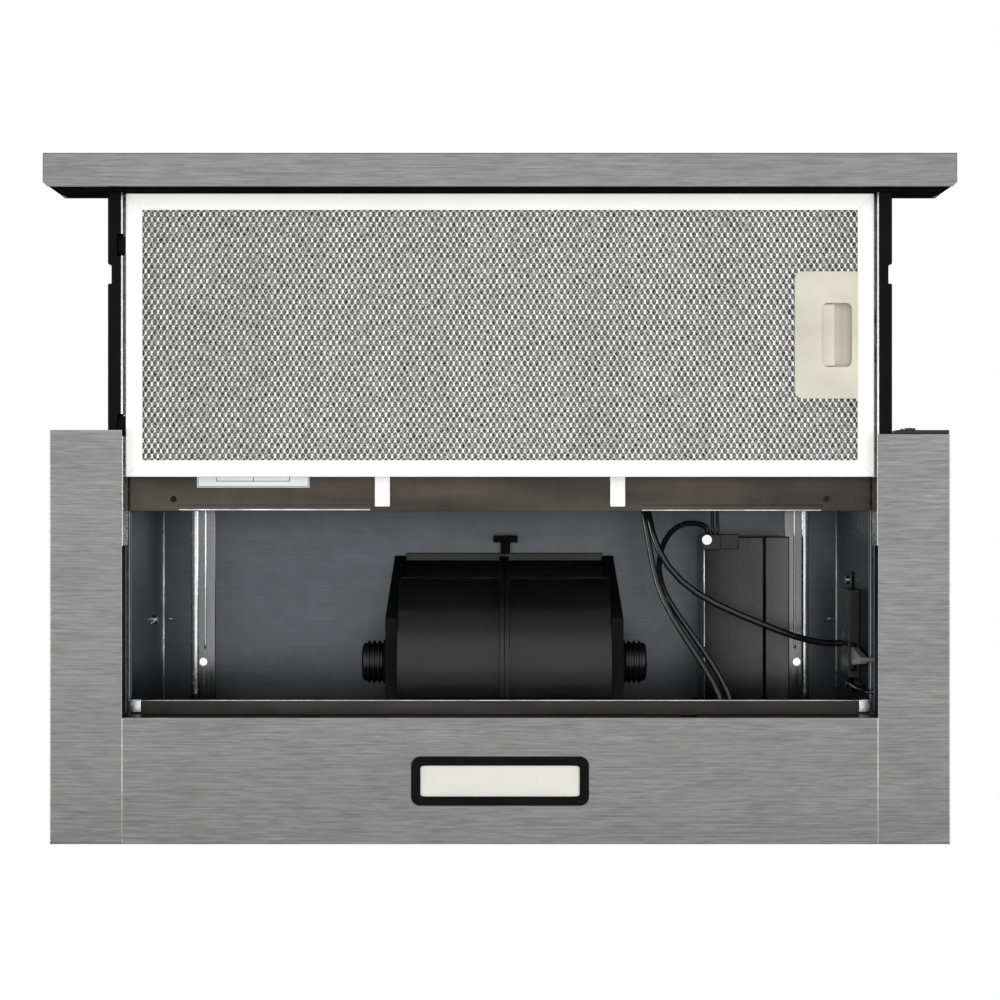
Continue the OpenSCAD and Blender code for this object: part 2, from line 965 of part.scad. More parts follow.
module led_board() {
    board_z = 15;
    color("white")
        translate([0, lamp_y, under_z])
            union() {
                translate([0, 0, board_z])
                    rounded_plate(lens_w - 8, lens_d - 2, 1, 1.6);
                for (k = [0 : led_count - 1])
                    translate([(k - (led_count - 1) / 2) * 16, 0, board_z - 1])
                        rounded_plate(4, 4, 0.5, 1.2);
            }
}

// Electrics

// Outline of the junction box across the hood, with its stepped lid
function box_outline(inset) = [
    [box_left + inset, roof_z - seam], [box_left + inset, box_z + inset],
    [box_right - box_step_w, box_z + inset],
    [box_right - box_step_w + 1.5, box_z + 2 + inset], [box_right - inset, box_z + 2 + inset],
    [box_right - inset, roof_z - seam]
];

module junction_box() {
    color(galvanised)
        difference() {
            along_y(box_front_y, box_front_y + box_l)
                polygon(box_outline(0));
            along_y(box_front_y + sheet, box_front_y + box_l - sheet)
                polygon(concat([[box_left + sheet, 1]], [for (i = [1 : 4]) box_outline(sheet)[i]],
                               [[box_right - sheet, 1]]));
        }
}

// Bracket on the front of the junction box, with the socket of its leads
module box_bracket() {
    front = box_front_y - 2;
    color(black)
        union() {
            block([box_left - 2, front, box_z - 9], [box_left + 11, box_front_y + 9, box_z - seam]);
            block([box_left + 10, front, box_z - 3], [box_left + 25, box_front_y + 9, box_z - seam]);
        }
}

module capacitor() {
    color("lightgray")
        translate([box_left + 22, box_front_y + 30, box_z + 17])
            rotate([-90, 0, 0])
                cylinder(h = 58, r = 14);
}

module terminal_block() {
    color("ivory")
        difference() {
            block([88, front_y + sheet + seam, -92], [160, -84.1, -56]);
            for (k = [0 : 4])
                translate([112 + 8 * k, -80, -82])
                    rotate([90, 0, 0])
                        cylinder(h = 8, r = 2);
        }
}

module switch_screw_holes() {
    for (y = [switch_front_y - 5.3, switch_front_y + switch_l + 7.4])
        translate([0, y, switch_z + switch_h + 2])
            rod_x(open_half - 5, open_half + 5, 1.5);
}

// Switch on the side panel that the drawer works through its lever
module drawer_switch() {
    x0 = open_half - switch_t;
    y1 = switch_front_y + switch_l;
    ear_z = switch_z + switch_h;
    color(black)
        union() {
            difference() {
                union() {
                    block([x0, switch_front_y, switch_z], [open_half - seam, y1, ear_z]);
                    block([open_half - 2, switch_front_y - 11, ear_z - 6],
                          [open_half - seam, y1 + 13, ear_z + 8]);
                }
                block([lever_x - 0.4, lever_y - 9, switch_z - 1],
                      [lever_x + lever_t + 0.4, lever_y + 11, lever_z + 6]);
                switch_screw_holes();
            }
            translate([0, lever_y, lever_z])
                rod_x(lever_x - 1, open_half - 1, 1.5);
        }
}

module switch_lever() {
    color("white")
        difference() {
            union() {
                along_x(lever_x, lever_x + lever_t)
                    polygon([
                        [lever_y - 6, lever_z + 3.5], [lever_y + 6, lever_z + 3.5],
                        [lever_y + 6, lever_z - 12], [lever_y + 2.5, lever_foot_z],
                        [lever_y - 1.8, lever_foot_z], [lever_y - 6, lever_z - 12]
                    ]);
                translate([0, lever_y, lever_foot_z])
                    rod_x(lever_x, open_half + 2.5, lever_foot_r);
            }
            translate([0, lever_y, lever_z])
                rod_x(lever_x - 1, lever_x + lever_t + 1, 1.5 + pin_play);
        }
}

// Slot of one slide switch, cut through the panel and into the switch body
module switch_slot(z, throw) {
    block([knob_rest_x - stem_w / 2 - 0.5, front_y - 1, z - slot_h / 2],
          [knob_rest_x + stem_w / 2 + throw + 0.5, front_y + panel_d + 6, z + slot_h / 2]);
}

module control_panel() {
    color(black)
        difference() {
            union() {
                block([panel_x, front_y, under_z + 0.3], [panel_x + panel_w, front_y + panel_d, tray_z]);
                block([panel_x + 3, front_y + 1, under_z + 3],
                      [panel_x + panel_w - 3, front_y + panel_d + module_d, tray_z - 3]);
            }
            switch_slot(lamp_slot_z, lamp_throw);
            switch_slot(speed_slot_z, speed_throw);
        }
}

// Cap outside the panel on a stem that reaches into the switch
module knob(z) {
    union() {
        block([knob_rest_x - knob_w / 2, front_y - knob_proud, z - 3.4],
              [knob_rest_x + knob_w / 2, front_y - 0.3, z + 3.4]);
        block([knob_rest_x - stem_w / 2, front_y - 1, z - stem_h / 2],
              [knob_rest_x + stem_w / 2, front_y + panel_d + 4, z + stem_h / 2]);
        block([knob_rest_x - 0.6, front_y - knob_proud - 0.5, z - 3],
              [knob_rest_x + 0.6, front_y - knob_proud + 0.5, z + 3]);
    }
}

module lamp_knob() {
    color("dimgray")
        knob(lamp_slot_z);
}

module speed_knob() {
    color("dimgray")
        knob(speed_slot_z);
}

// Screws and rivets of the fixed body, one group
module body_screws() {
    color("silver") {
        at_outlet()
            for (a = collar_screw_a)
                rotate([0, 0, a])
                    translate([collar_screw_r, 0, 0]) {
                        translate([0, 0, collar_base_t + seam])
                            cylinder(h = 2, r = screw_head_r);
                        translate([0, 0, seam])
                            cylinder(h = collar_base_t + 1, r = 1.7);
                    }
        for (y = [switch_front_y - 5.3, switch_front_y + switch_l + 7.4])
            translate([0, y, switch_z + switch_h + 2]) {
                rod_x(open_half - 4, open_half - 2, screw_head_r - 0.5);
                rod_x(open_half - 3, open_half + 2.5, 1.4);
            }
        translate([box_left + 1, box_front_y + 2, box_z - 11])
            cylinder(h = 2 - seam, r = screw_head_r);
        for (sx = [-1, 1])
            translate([sx * (open_half - 1.3), 36, roof_z - 37])
                rod_x(-1.2, 1.2, 3);
    }
}

// Leads

module switch_cable() {
    color(black)
        lead(switch_route, lead_d);
}

module lamp_cable() {
    color(black)
        lead(lamp_route, thin_lead_d);
}

module box_cable() {
    color(black)
        lead(box_route, thin_lead_d);
}

module supply_wires() {
    color(black)
        for (k = [0, 1])
            translate([3.6 * k, 0, 0])
                lead(supply_route, 2.5);
}

module motor_lead() {
    color(black)
        lead(motor_route, lead_d);
}

module control_cable() {
    color(black)
        lead(control_route, 4);
}

// Drawer

module bar_outline(inset, corner, rear) {
    half = body_half - inset;
    front = bar_front_y + inset;
    polygon([
        [-half, front], [half, front], [half, rear - corner], [half - corner, rear],
        [-half + corner, rear], [-half, rear - corner]
    ]);
}

// Brushed steel front of the drawer: front face folded over at all four edges
module front_bar() {
    color(steel)
        difference() {
            translate([0, 0, bar_z])
                linear_extrude(bar_h)
                    bar_outline(0, 3, bar_rear_y);
            block([-body_half + sheet, bar_front_y + sheet, bar_z + sheet],
                  [body_half - sheet, bar_rear_y + 1, bar_z + bar_h - sheet]);
        }
}

carrier_inset = 2.5;
carrier_ribs = 7;
screw_z = [rail_z + 4, rail_z + rail_h - 4];

// Black moulding inside the bar that ties it to the rails
module bar_carrier() {
    gap = sheet + seam;
    wall = 2;
    half = body_half - carrier_inset - wall;
    color(black)
        difference() {
            translate([0, 0, bar_z + gap])
                linear_extrude(bar_h - 2 * gap)
                    bar_outline(carrier_inset, 3, bar_rear_y);
            for (k = [0 : carrier_ribs - 1]) {
                cell = 2 * half / carrier_ribs;
                block([-half + k * cell, bar_front_y, bar_z + gap + wall],
                      [-half + (k + 1) * cell - wall, bar_rear_y - 2.5, bar_z + bar_h - gap - wall]);
            }
            for (z = screw_z)
                both_sides()
                    translate([cover_x + rail_cover_w / 2, bar_rear_y + 1, z])
                        rotate([90, 0, 0])
                            cylinder(h = 10, r = 1.6);
        }
}

cam_l = 12;
cam_rear_y = lever_y - lever_foot_r - lever_gap - travel;

// Steel runners that carry the filter; the right one has the tab that works the switch
module drawer_runners() {
    color("silver")
        difference() {
            union() {
                both_sides() {
                    block([runner_x, bar_rear_y, rail_z], [cover_x, rail_rear_y, rail_z + rail_h]);
                    block([runner_x - seat_w, bar_rear_y, seat_z],
                          [cover_x, filter_rear_y, seat_z + runner_t]);
                }
                block([runner_x, cam_rear_y - cam_l, rail_z],
                      [cover_x, cam_rear_y, under_z + tray_h - 2.5]);
            }
            filter_slots();
        }
}

// Room for the filter's tongues on the left, and for its bolts on the right
module filter_slots() {
    for (sy = [-1, 1]) {
        block([-cover_x - 3, filter_mid_y + sy * tongue_y - tongue_w / 2 - slot_play,
               filter_z - 4],
              [-runner_x + 1, filter_mid_y + sy * tongue_y + tongue_w / 2 + slot_play,
               filter_z + 6]);
        block([runner_x - 1, latch_mid_y + sy * bolt_y - bolt_w / 2 - slot_play, slider_z - 1.2],
              [cover_x + 1.5, latch_mid_y + sy * bolt_y + bolt_w / 2 + slot_play,
               slider_z + slider_t + 1.2]);
    }
}

module rail_covers() {
    color(black)
        difference() {
            both_sides()
                difference() {
                    block([cover_x, bar_rear_y, rail_z],
                          [cover_x + rail_cover_w, rail_rear_y - 12, rail_z + rail_h]);
                    block([cover_x + rail_cover_w - rail_notch_depth, rail_notch_y, rail_z - 1],
                          [cover_x + rail_cover_w + 1, rail_notch_y + rail_notch_l,
                           rail_z + rail_h + 1]);
                    for (z = screw_z)
                        translate([cover_x + rail_cover_w / 2, bar_rear_y + 12, z])
                            rotate([90, 0, 0])
                                cylinder(h = 14, r = 1.6);
                }
            filter_slots();
        }
}

// Nylon glides on the rear ends of the rails, and the screws of their front ends
module rail_glides() {
    color("white")
        both_sides()
            block([cover_x + 0.2, rail_rear_y - 12 + seam, rail_z - 0.4],
                  [cover_x + rail_cover_w + 0.4, rail_rear_y, rail_z + rail_h + 0.4]);
    color("silver")
        both_sides()
            for (z = screw_z)
                translate([cover_x + rail_cover_w / 2, bar_rear_y, z])
                    rotate([90, 0, 0]) {
                        translate([0, 0, -11])
                            cylinder(h = 14, r = 1.5);
                        translate([0, 0, 2.6])
                            cylinder(h = 1.8, r = 3);
                    }
}

// Grease filter

module filter_ring(border, z0, z1) {
    difference() {
        block([-filter_half, filter_front_y, z0], [filter_half, filter_rear_y, z1]);
        block([-filter_half + border, filter_front_y + border, z0 - 1],
              [filter_half - border, filter_rear_y - border, z1 + 1]);
    }
}

// Folded frame with two tongues on the left that hang in the runner
module filter_frame() {
    top = filter_z + filter_t;
    color(pale)
        difference() {
            union() {
                filter_ring(filter_border, filter_z, filter_z + frame_lip);
                filter_ring(1, filter_z, top);
                filter_ring(filter_border, top - frame_lip, top);
                for (sy = [-1, 1])
                    block([-filter_half - tongue_reach, filter_mid_y + sy * tongue_y - tongue_w / 2,
                           filter_z],
                          [-filter_half + 1, filter_mid_y + sy * tongue_y + tongue_w / 2,
                           filter_z + tongue_t]);
            }
            for (sy = [-1, 1])
                block([filter_half - 3, latch_mid_y + sy * bolt_y - bolt_w / 2 - 0.4, slider_z - 0.4],
                      [filter_half + 1, latch_mid_y + sy * bolt_y + bolt_w / 2 + 0.4,
                       slider_z + slider_t + 0.4]);
        }
}

// Space that the latch takes out of the filter's layers
module latch_room() {
    block([latch_left - seam, latch_mid_y - latch_l / 2 - seam, filter_z - 5],
          [filter_half + 1, latch_mid_y + latch_l / 2 + seam, filter_z + filter_t + 5]);
}

module filter_layer(z0, z1) {
    difference() {
        block([-filter_half + 1 + seam, filter_front_y + 1 + seam, z0],
              [filter_half - 1 - seam, filter_rear_y - 1 - seam, z1]);
        latch_room();
    }
}

module filter_mesh() {
    color("silver")
        filter_layer(filter_z + frame_lip + 0.1, filter_z + frame_lip + 0.9);
}

// Inner layers of expanded mesh, drawn as one flat pack
module filter_core() {
    color("gray")
        filter_layer(filter_z + filter_t - frame_lip - 1.7, filter_z + filter_t - frame_lip - 0.1);
}

// Latch housing: a shallow tray with rounded left corners and the finger window
module latch_plate() {
    height = filter_z + filter_t - frame_lip - seam - latch_z;
    mid_x = (latch_left + latch_right) / 2;
    corner = 5;
    color(beige)
        difference() {
            union() {
                translate([mid_x, latch_mid_y, latch_z])
                    rounded_plate(latch_w, latch_l, corner, height);
                block([mid_x, latch_mid_y - latch_l / 2, latch_z],
                      [latch_right - seam, latch_mid_y + latch_l / 2, latch_z + height]);
                block([latch_right - 2, latch_mid_y - slider_w / 2 - 4, filter_z + frame_lip + seam],
                      [filter_half - 1 - seam, latch_mid_y + slider_w / 2 + 4, latch_z + height]);
            }
            block([latch_left + latch_wall, latch_mid_y - slider_w / 2 - 3, latch_z + latch_wall],
                  [latch_right - latch_wall, latch_mid_y + slider_w / 2 + 3, latch_z + height + 1]);
            block([latch_left + latch_wall, latch_mid_y - slider_w / 2 - 0.4, slider_z - 0.4],
                  [filter_half, latch_mid_y + slider_w / 2 + 0.4, latch_z + height + 1]);
            translate([(pocket_left + pocket_right) / 2, latch_mid_y, latch_z - 1])
                rounded_plate(pocket_w, pocket_l, 4, latch_wall + 2);
        }
}

// Slider with its finger grip and two bolts; it is drawn latched
module latch_slider() {
    grip_z = latch_z + latch_wall + 0.4;
    grip_half = pocket_l / 2 - 0.6;
    color(beige)
        union() {
            block([slider_left, latch_mid_y - slider_w / 2, slider_z],
                  [filter_half - 2, latch_mid_y + slider_w / 2, slider_z + slider_t]);
            block([pocket_left, latch_mid_y - grip_half, grip_z],
                  [pocket_left + grip_w, latch_mid_y + grip_half, slider_z + slider_t / 2]);
            for (sy = [-1, 1])
                block([filter_half - 3, latch_mid_y + sy * bolt_y - bolt_w / 2, slider_z],
                      [runner_x - 0.4, latch_mid_y + sy * bolt_y + bolt_w / 2, slider_z + slider_t]);
        }
}

roof_panel();
side_panel_left();
side_panel_right();
back_panel();
front_panel();
underside_left();
underside_right();
lamp_panel();
rear_shelf();
shelf_clips();
corner_tabs();
rating_label();
fixing_strips();
guide_channels();
drawer_buffers();
body_screws();
outlet_collar();
cable_gland();
control_panel();
scroll_left();
scroll_right();
inlet_plate_left();
inlet_plate_right();
bearing_caps();
motor();
motor_bracket();
housing_clip();
junction_box();
box_bracket();
capacitor();
terminal_block();
drawer_switch();
lamp_bezel();
lamp_lens();
lamp_housing();
led_board();
switch_cable();
lamp_cable();
box_cable();
supply_wires();
motor_lead();
control_cable();
front_bar();
bar_carrier();
drawer_runners();
rail_covers();
rail_glides();
filter_frame();
filter_mesh();
filter_core();
latch_plate();
latch_slider();
lamp_knob();
speed_knob();
switch_lever();
flap_front();
flap_rear();
rotor_shaft();
impeller_left();
impeller_right();
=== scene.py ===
"""Visible pieces, finishes and studio of a slim pull-out cooker hood, laid out as an add-on."""

import json
import math
import random

import bmesh
import bpy
from bpy.props import FloatProperty, FloatVectorProperty, IntProperty, PointerProperty
from bpy.types import Operator, Panel, PropertyGroup
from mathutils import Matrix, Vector


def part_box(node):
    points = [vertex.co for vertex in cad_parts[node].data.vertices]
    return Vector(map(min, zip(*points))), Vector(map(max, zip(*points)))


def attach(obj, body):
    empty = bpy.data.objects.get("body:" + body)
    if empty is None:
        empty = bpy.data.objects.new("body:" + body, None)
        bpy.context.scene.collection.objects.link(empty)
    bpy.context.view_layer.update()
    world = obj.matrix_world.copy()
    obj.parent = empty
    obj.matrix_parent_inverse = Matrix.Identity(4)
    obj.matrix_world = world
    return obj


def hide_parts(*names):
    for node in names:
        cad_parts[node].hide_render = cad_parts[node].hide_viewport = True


bl_info = {
    "name": "Pull-out Cooker Hood",
    "version": (1, 0, 0),
    "blender": (4, 5, 0),
    "location": "View3D > Sidebar > Cooker Hood",
    "description": "Builds the pieces, finishes and studio of a slim pull-out cooker hood",
    "category": "Object",
}

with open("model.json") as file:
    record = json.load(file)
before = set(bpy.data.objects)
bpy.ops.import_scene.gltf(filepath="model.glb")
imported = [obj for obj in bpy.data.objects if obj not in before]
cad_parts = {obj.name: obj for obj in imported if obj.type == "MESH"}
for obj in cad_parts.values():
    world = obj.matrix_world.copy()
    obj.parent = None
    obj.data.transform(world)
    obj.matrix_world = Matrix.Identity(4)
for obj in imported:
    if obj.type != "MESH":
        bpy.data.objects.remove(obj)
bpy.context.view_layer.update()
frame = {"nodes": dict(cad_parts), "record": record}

MM = 0.001
SLOTS = {part["node"]: part["material_slot"] for part in frame["record"]["subparts"]}
BODIES = {
    node: body
    for body, nodes in frame["record"]["behaviour"]["bodies"].items()
    for node in nodes
}


# -----
# Sizes and colours that a user may change
# -----


def length(name, description, default, low=0.0):
    """A size in metres, shown with its unit."""
    return FloatProperty(
        name=name, description=description, default=default, min=low, unit="LENGTH", precision=5
    )


def colour(name, description, default):
    """A linear colour without alpha."""
    return FloatVectorProperty(
        name=name, description=description, default=default, size=3, min=0.0, max=1.0,
        subtype="COLOR",
    )


def amount(name, description, default, high=1.0):
    """A share or strength with no unit."""
    return FloatProperty(name=name, description=description, default=default, min=0.0, max=high)


class HoodSteelSettings(PropertyGroup):
    """Finishes of the sheet steel."""

    brushed: colour("Brushed steel", "Colour of the brushed steel skin", (0.212, 0.212, 0.212))
    grain_length: length("Grain length", "Length of the longest brush marks", 0.018)
    grain_width: length("Grain width", "Width of the brush marks", 0.0018)
    # Darker copy of the zinc for the inside faces: painted shade
    galvanised: colour("Inside zinc", "Colour of the zinc coated inside", (0.084, 0.087, 0.096))
    zinc: colour("Clean zinc", "Colour of the zinc coated outside", (0.42, 0.43, 0.45))
    # Shelf colours: zinc darkened as painted shade of the interior
    shelf: colour("Shelf steel", "Colour of the front shelf", (0.062, 0.057, 0.046))
    rear_shelf: colour("Rear shelf", "Colour of the rear shelf", (0.040, 0.039, 0.037))
    # Also the colour of the painted highlight on the ridges and lances
    bright: colour("Bright steel", "Colour of the plated small parts", (0.62, 0.62, 0.63))
    stiffener: colour("Fixing strips", "Colour of the rolled strips", (0.1612, 0.1612, 0.1638))
    # Colour of the painted highlight lines on the folds and hems
    folds: colour("Folded edges", "Colour of the sheet's polished folds", (0.85, 0.85, 0.84))
    box: colour("Junction box", "Colour of the junction box", (0.052, 0.052, 0.053))
    # Radius of the rods that carry the painted fold highlights
    fold_line: length("Fold line", "Radius of the polished line along a fold", 0.0005)
    fold_radius: length("Fold radius", "Outside radius of folded sheet edges", 0.0009)
    burr_radius: length("Edge radius", "Radius of cut sheet edges", 0.0003)


class HoodFilterSettings(PropertyGroup):
    """Grease filter: frame and expanded mesh."""

    pitch_across: length("Pitch across", "Distance between holes along the hood's width", 0.0041)
    row_pitch: length("Row pitch", "Distance between neighbouring rows of holes", 0.0034)
    strand_width: length("Strand width", "Width of one strand of expanded mesh", 0.00085)
    strand_thickness: length("Strand thickness", "Thickness of one strand", 0.00030)
    strand_roll: FloatProperty(
        name="Strand roll", description="Twist of the strands out of the sheet",
        default=math.radians(7), subtype="ANGLE"
    )
    frame_corner: length("Frame corner", "Radius of the frame's outer lower edge", 0.0008)
    mitre_gap: length("Mitre gap", "Half of the gap at each mitred corner", 0.00006)
    frame_colour: colour("Frame", "Colour of the filter's frame", (0.96, 0.96, 0.95))
    bond_length: length("Bond length", "Length of the flat spot where strands meet", 0.0028)
    bond_width: length("Bond width", "Width of the flat spot where strands meet", 0.0012)
    # Strands and bonds are shaded and lit copies of one aluminium: the strands' colour is held dark
    # as painted shade, the bonds' colour is a painted highlight
    mesh_colour: colour("Mesh", "Colour of the twisted strands of the mesh", (0.38, 0.38, 0.375))
    bond_colour: colour("Bonds", "Colour of the flat spots of the mesh", (0.95, 0.95, 0.94))
    pack_colour: colour("Mesh pack", "Colour of the crumpled layers inside", (0.27, 0.27, 0.27))


class HoodMouldingSettings(PropertyGroup):
    """Moulded plastic, rubber and lamp."""

    black: colour("Black plastic", "Colour of the black mouldings", (0.006, 0.006, 0.0065))
    rubber: colour("Cable sheath", "Colour of the cable sheaths", (0.007, 0.007, 0.008))
    white: colour("White plastic", "Colour of clips and glides", (0.92, 0.92, 0.90))
    beige: colour("Latch plastic", "Colour of the filter latch", (0.565, 0.548, 0.450))
    lens: colour("Lens", "Colour of the lamp's opal lens", (0.655, 0.65, 0.585))
    edge_radius: length("Moulded edge", "Radius of moulded outer edges", 0.0006)
    lens_crown: length("Lens crown", "How far the lens bulges", 0.0005)
    grip_ribs: IntProperty(name="Grip ribs", description="Ribs on a knob", default=4, min=2, max=8)


class HoodStageSettings(PropertyGroup):
    """Camera, lights and floor."""

    camera_height: length("Camera drop", "Distance of the camera below the roof", 1.3656)
    camera_back: FloatProperty(
        name="Camera offset", description="Place of the camera front to back",
        default=-0.0505, unit="LENGTH"
    )
    lens: FloatProperty(name="Lens", description="Focal length in mm", default=65.88, min=20)
    floor_drop: length("Floor drop", "Distance of the floor below the hood's roof", 2.35)
    key_radiance: amount("Softbox", "Brightness of the softbox under the hood", 0.95, 10)
    left_radiance: amount("Left light", "Brightness of the light on the left", 6.8, 20)
    right_radiance: amount("Right light", "Brightness of the light on the right", 8.5, 20)
    top_radiance: amount("Top light", "Brightness of the light above the roof", 1.3, 20)
    sky: amount("Sky", "Brightness of the room in reflections", 0.45, 4)


def settings(group):
    """The scene's values of one property group."""
    return getattr(bpy.context.scene, "hood_" + group)


# -----
# Finishes
# -----


FINISH_PREFIX = "hood_"


def shade(source):
    """A colour given as itself, or by the group and name of the setting that holds it."""
    if isinstance(source, str):
        group, value = source.split(".")
        return getattr(settings(group), value)
    return source


class Finish:
    """Short hand for one material's node tree, in object coordinates."""

    def __init__(self, name, base, roughness, metallic, sockets=None):
        self.base = tuple(shade(base))
        self.material = bpy.data.materials.new(FINISH_PREFIX + name)
        self.material.use_nodes = True
        self.material.diffuse_color = (*self.base, 1)
        self.tree = self.material.node_tree
        self.shader = self.tree.nodes["Principled BSDF"]
        plain = {"Base Color": (*self.base, 1), "Roughness": roughness, "Metallic": metallic}
        self.feed(self.shader, plain | (sockets or {}))
        self.place = self.node("ShaderNodeTexCoord").outputs["Object"]

    def feed(self, node, sockets):
        """Joins outputs to a node's sockets, or writes plain values on them."""
        for socket, value in sockets.items():
            if isinstance(value, bpy.types.NodeSocket):
                self.tree.links.new(value, node.inputs[socket])
            else:
                node.inputs[socket].default_value = value

    def node(self, kind, sockets=None, **values):
        """A node with some of its own settings changed and its sockets fed."""
        made = self.tree.nodes.new(kind)
        for name, value in values.items():
            setattr(made, name, value)
        self.feed(made, sockets or {})
        return made

    def stretched(self, sizes):
        """Coordinates in which a feature of the given size in metres is one unit across."""
        sockets = {0: self.place, 1: tuple(1 / size for size in sizes)}
        return self.node("ShaderNodeVectorMath", sockets, operation="MULTIPLY").outputs[0]

    def noise(self, sizes, detail=2.0, roughness=0.5):
        """Noise whose blotches have the given sizes along X, Y and Z."""
        sockets = {
            "Vector": self.stretched(sizes), "Scale": 1.0, "Detail": detail, "Roughness": roughness
        }
        return self.node("ShaderNodeTexNoise", sockets).outputs["Fac"]

    def cells(self, size):
        """Shades of cells of the given size."""
        sockets = {"Vector": self.stretched((size,) * 3), "Scale": 1.0}
        return self.node("ShaderNodeTexVoronoi", sockets).outputs["Color"]

    def span(self, value, low, high, start=0.3, end=0.7):
        """Maps a noise value to a range."""
        ends = {"From Min": start, "From Max": end, "To Min": low, "To Max": high}
        return self.node("ShaderNodeMapRange", {"Value": value} | ends).outputs["Result"]

    def math(self, operation, a, b):
        """One sum."""
        return self.node("ShaderNodeMath", {0: a, 1: b}, operation=operation).outputs[0]

    def tint(self, *factors):
        """The base colour, made lighter and darker by the factors."""
        total = factors[0]
        for factor in factors[1:]:
            total = self.math("MULTIPLY", total, factor)
        sockets = {0: self.base, "Scale": total}
        scaled = self.node("ShaderNodeVectorMath", sockets, operation="SCALE").outputs[0]
        self.feed(self.shader, {"Base Color": scaled})

    def rough(self, value):
        """Roughness that varies over the surface."""
        self.feed(self.shader, {"Roughness": value})

    def relief(self, height, depth, strength):
        """Bump of the given depth."""
        sockets = {"Strength": strength, "Distance": depth, "Height": height}
        bump = self.node("ShaderNodeBump", sockets)
        self.feed(self.shader, {"Normal": bump.outputs["Normal"]})


def brushed_steel():
    """Steel brushed along the hood's width: long fine streaks over shorter broad ones."""
    length, width = settings("steel").grain_length, settings("steel").grain_width
    f = Finish("brushed_steel", "steel.brushed", 0.34, 1.0)
    long_marks = f.noise((length * 3, width * 0.4, width * 0.4), 1)
    marks = f.noise((length, width, width), 3, 0.6)
    cloud = f.noise((0.05, 0.02, 0.02), 1)
    f.tint(f.span(marks, 0.78, 1.22), f.span(long_marks, 0.87, 1.13), f.span(cloud, 0.96, 1.04))
    f.rough(f.span(marks, 0.30, 0.42))
    f.relief(f.math("ADD", marks, long_marks), 0.00003, 0.5)
    return f.material


def zinc(name, base, crystal):
    """Zinc coated sheet: faint crystals, rolling marks and a low shine."""
    f = Finish(name, base, 0.3, 1.0)
    crystals = f.cells(0.009)
    rolling = f.noise((0.06, 0.0016, 0.0016))
    cloud = f.noise((0.09, 0.09, 0.09))
    f.tint(
        f.span(crystals, 1 - crystal, 1 + crystal, 0, 1),
        f.span(rolling, 0.95, 1.05),
        f.span(cloud, 0.85, 1.15),
    )
    f.rough(f.span(cloud, 0.26, 0.40))
    f.relief(rolling, 0.00002, 0.3)
    return f.material


def box_steel():
    """Dark sheet of the junction box with painted shade: darkest at its left end, lighter towards
    and beyond its crease.
    """
    low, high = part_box("junction_box")
    f = Finish("box_steel", "steel.box", 0.24, 1.0)
    cloud = f.noise((0.05, 0.09, 0.05))
    rolling = f.noise((0.0016, 0.06, 0.06))
    x = f.node("ShaderNodeSeparateXYZ", {"Vector": f.place}).outputs["X"]
    # Painted shade: the colour ramps from dark at the box's left end to light at its right end
    painted_shade_ramp = f.span(x, 0.25, 1.35, low.x, high.x)
    f.tint(painted_shade_ramp, f.span(cloud, 0.60, 1.4), f.span(rolling, 0.95, 1.05))
    f.rough(f.span(cloud, 0.20, 0.34))
    f.relief(rolling, 0.00002, 0.3)
    return f.material


def layered(name, base, roughness, layers, metallic=1.0, rough=None, relief=None, sockets=None):
    """A finish tinted by layers of noise, each given as sizes, detail and span.

    The first layer also drives the roughness and the relief.
    """
    f = Finish(name, base, roughness, metallic, sockets)
    noises = [f.noise(sizes, *detail) for sizes, detail, _ in layers]
    f.tint(*(f.span(noise, *span) for noise, (_, _, span) in zip(noises, layers)))
    if rough:
        f.rough(f.span(noises[0], *rough))
    if relief:
        f.relief(noises[0], *relief)
    return f.material


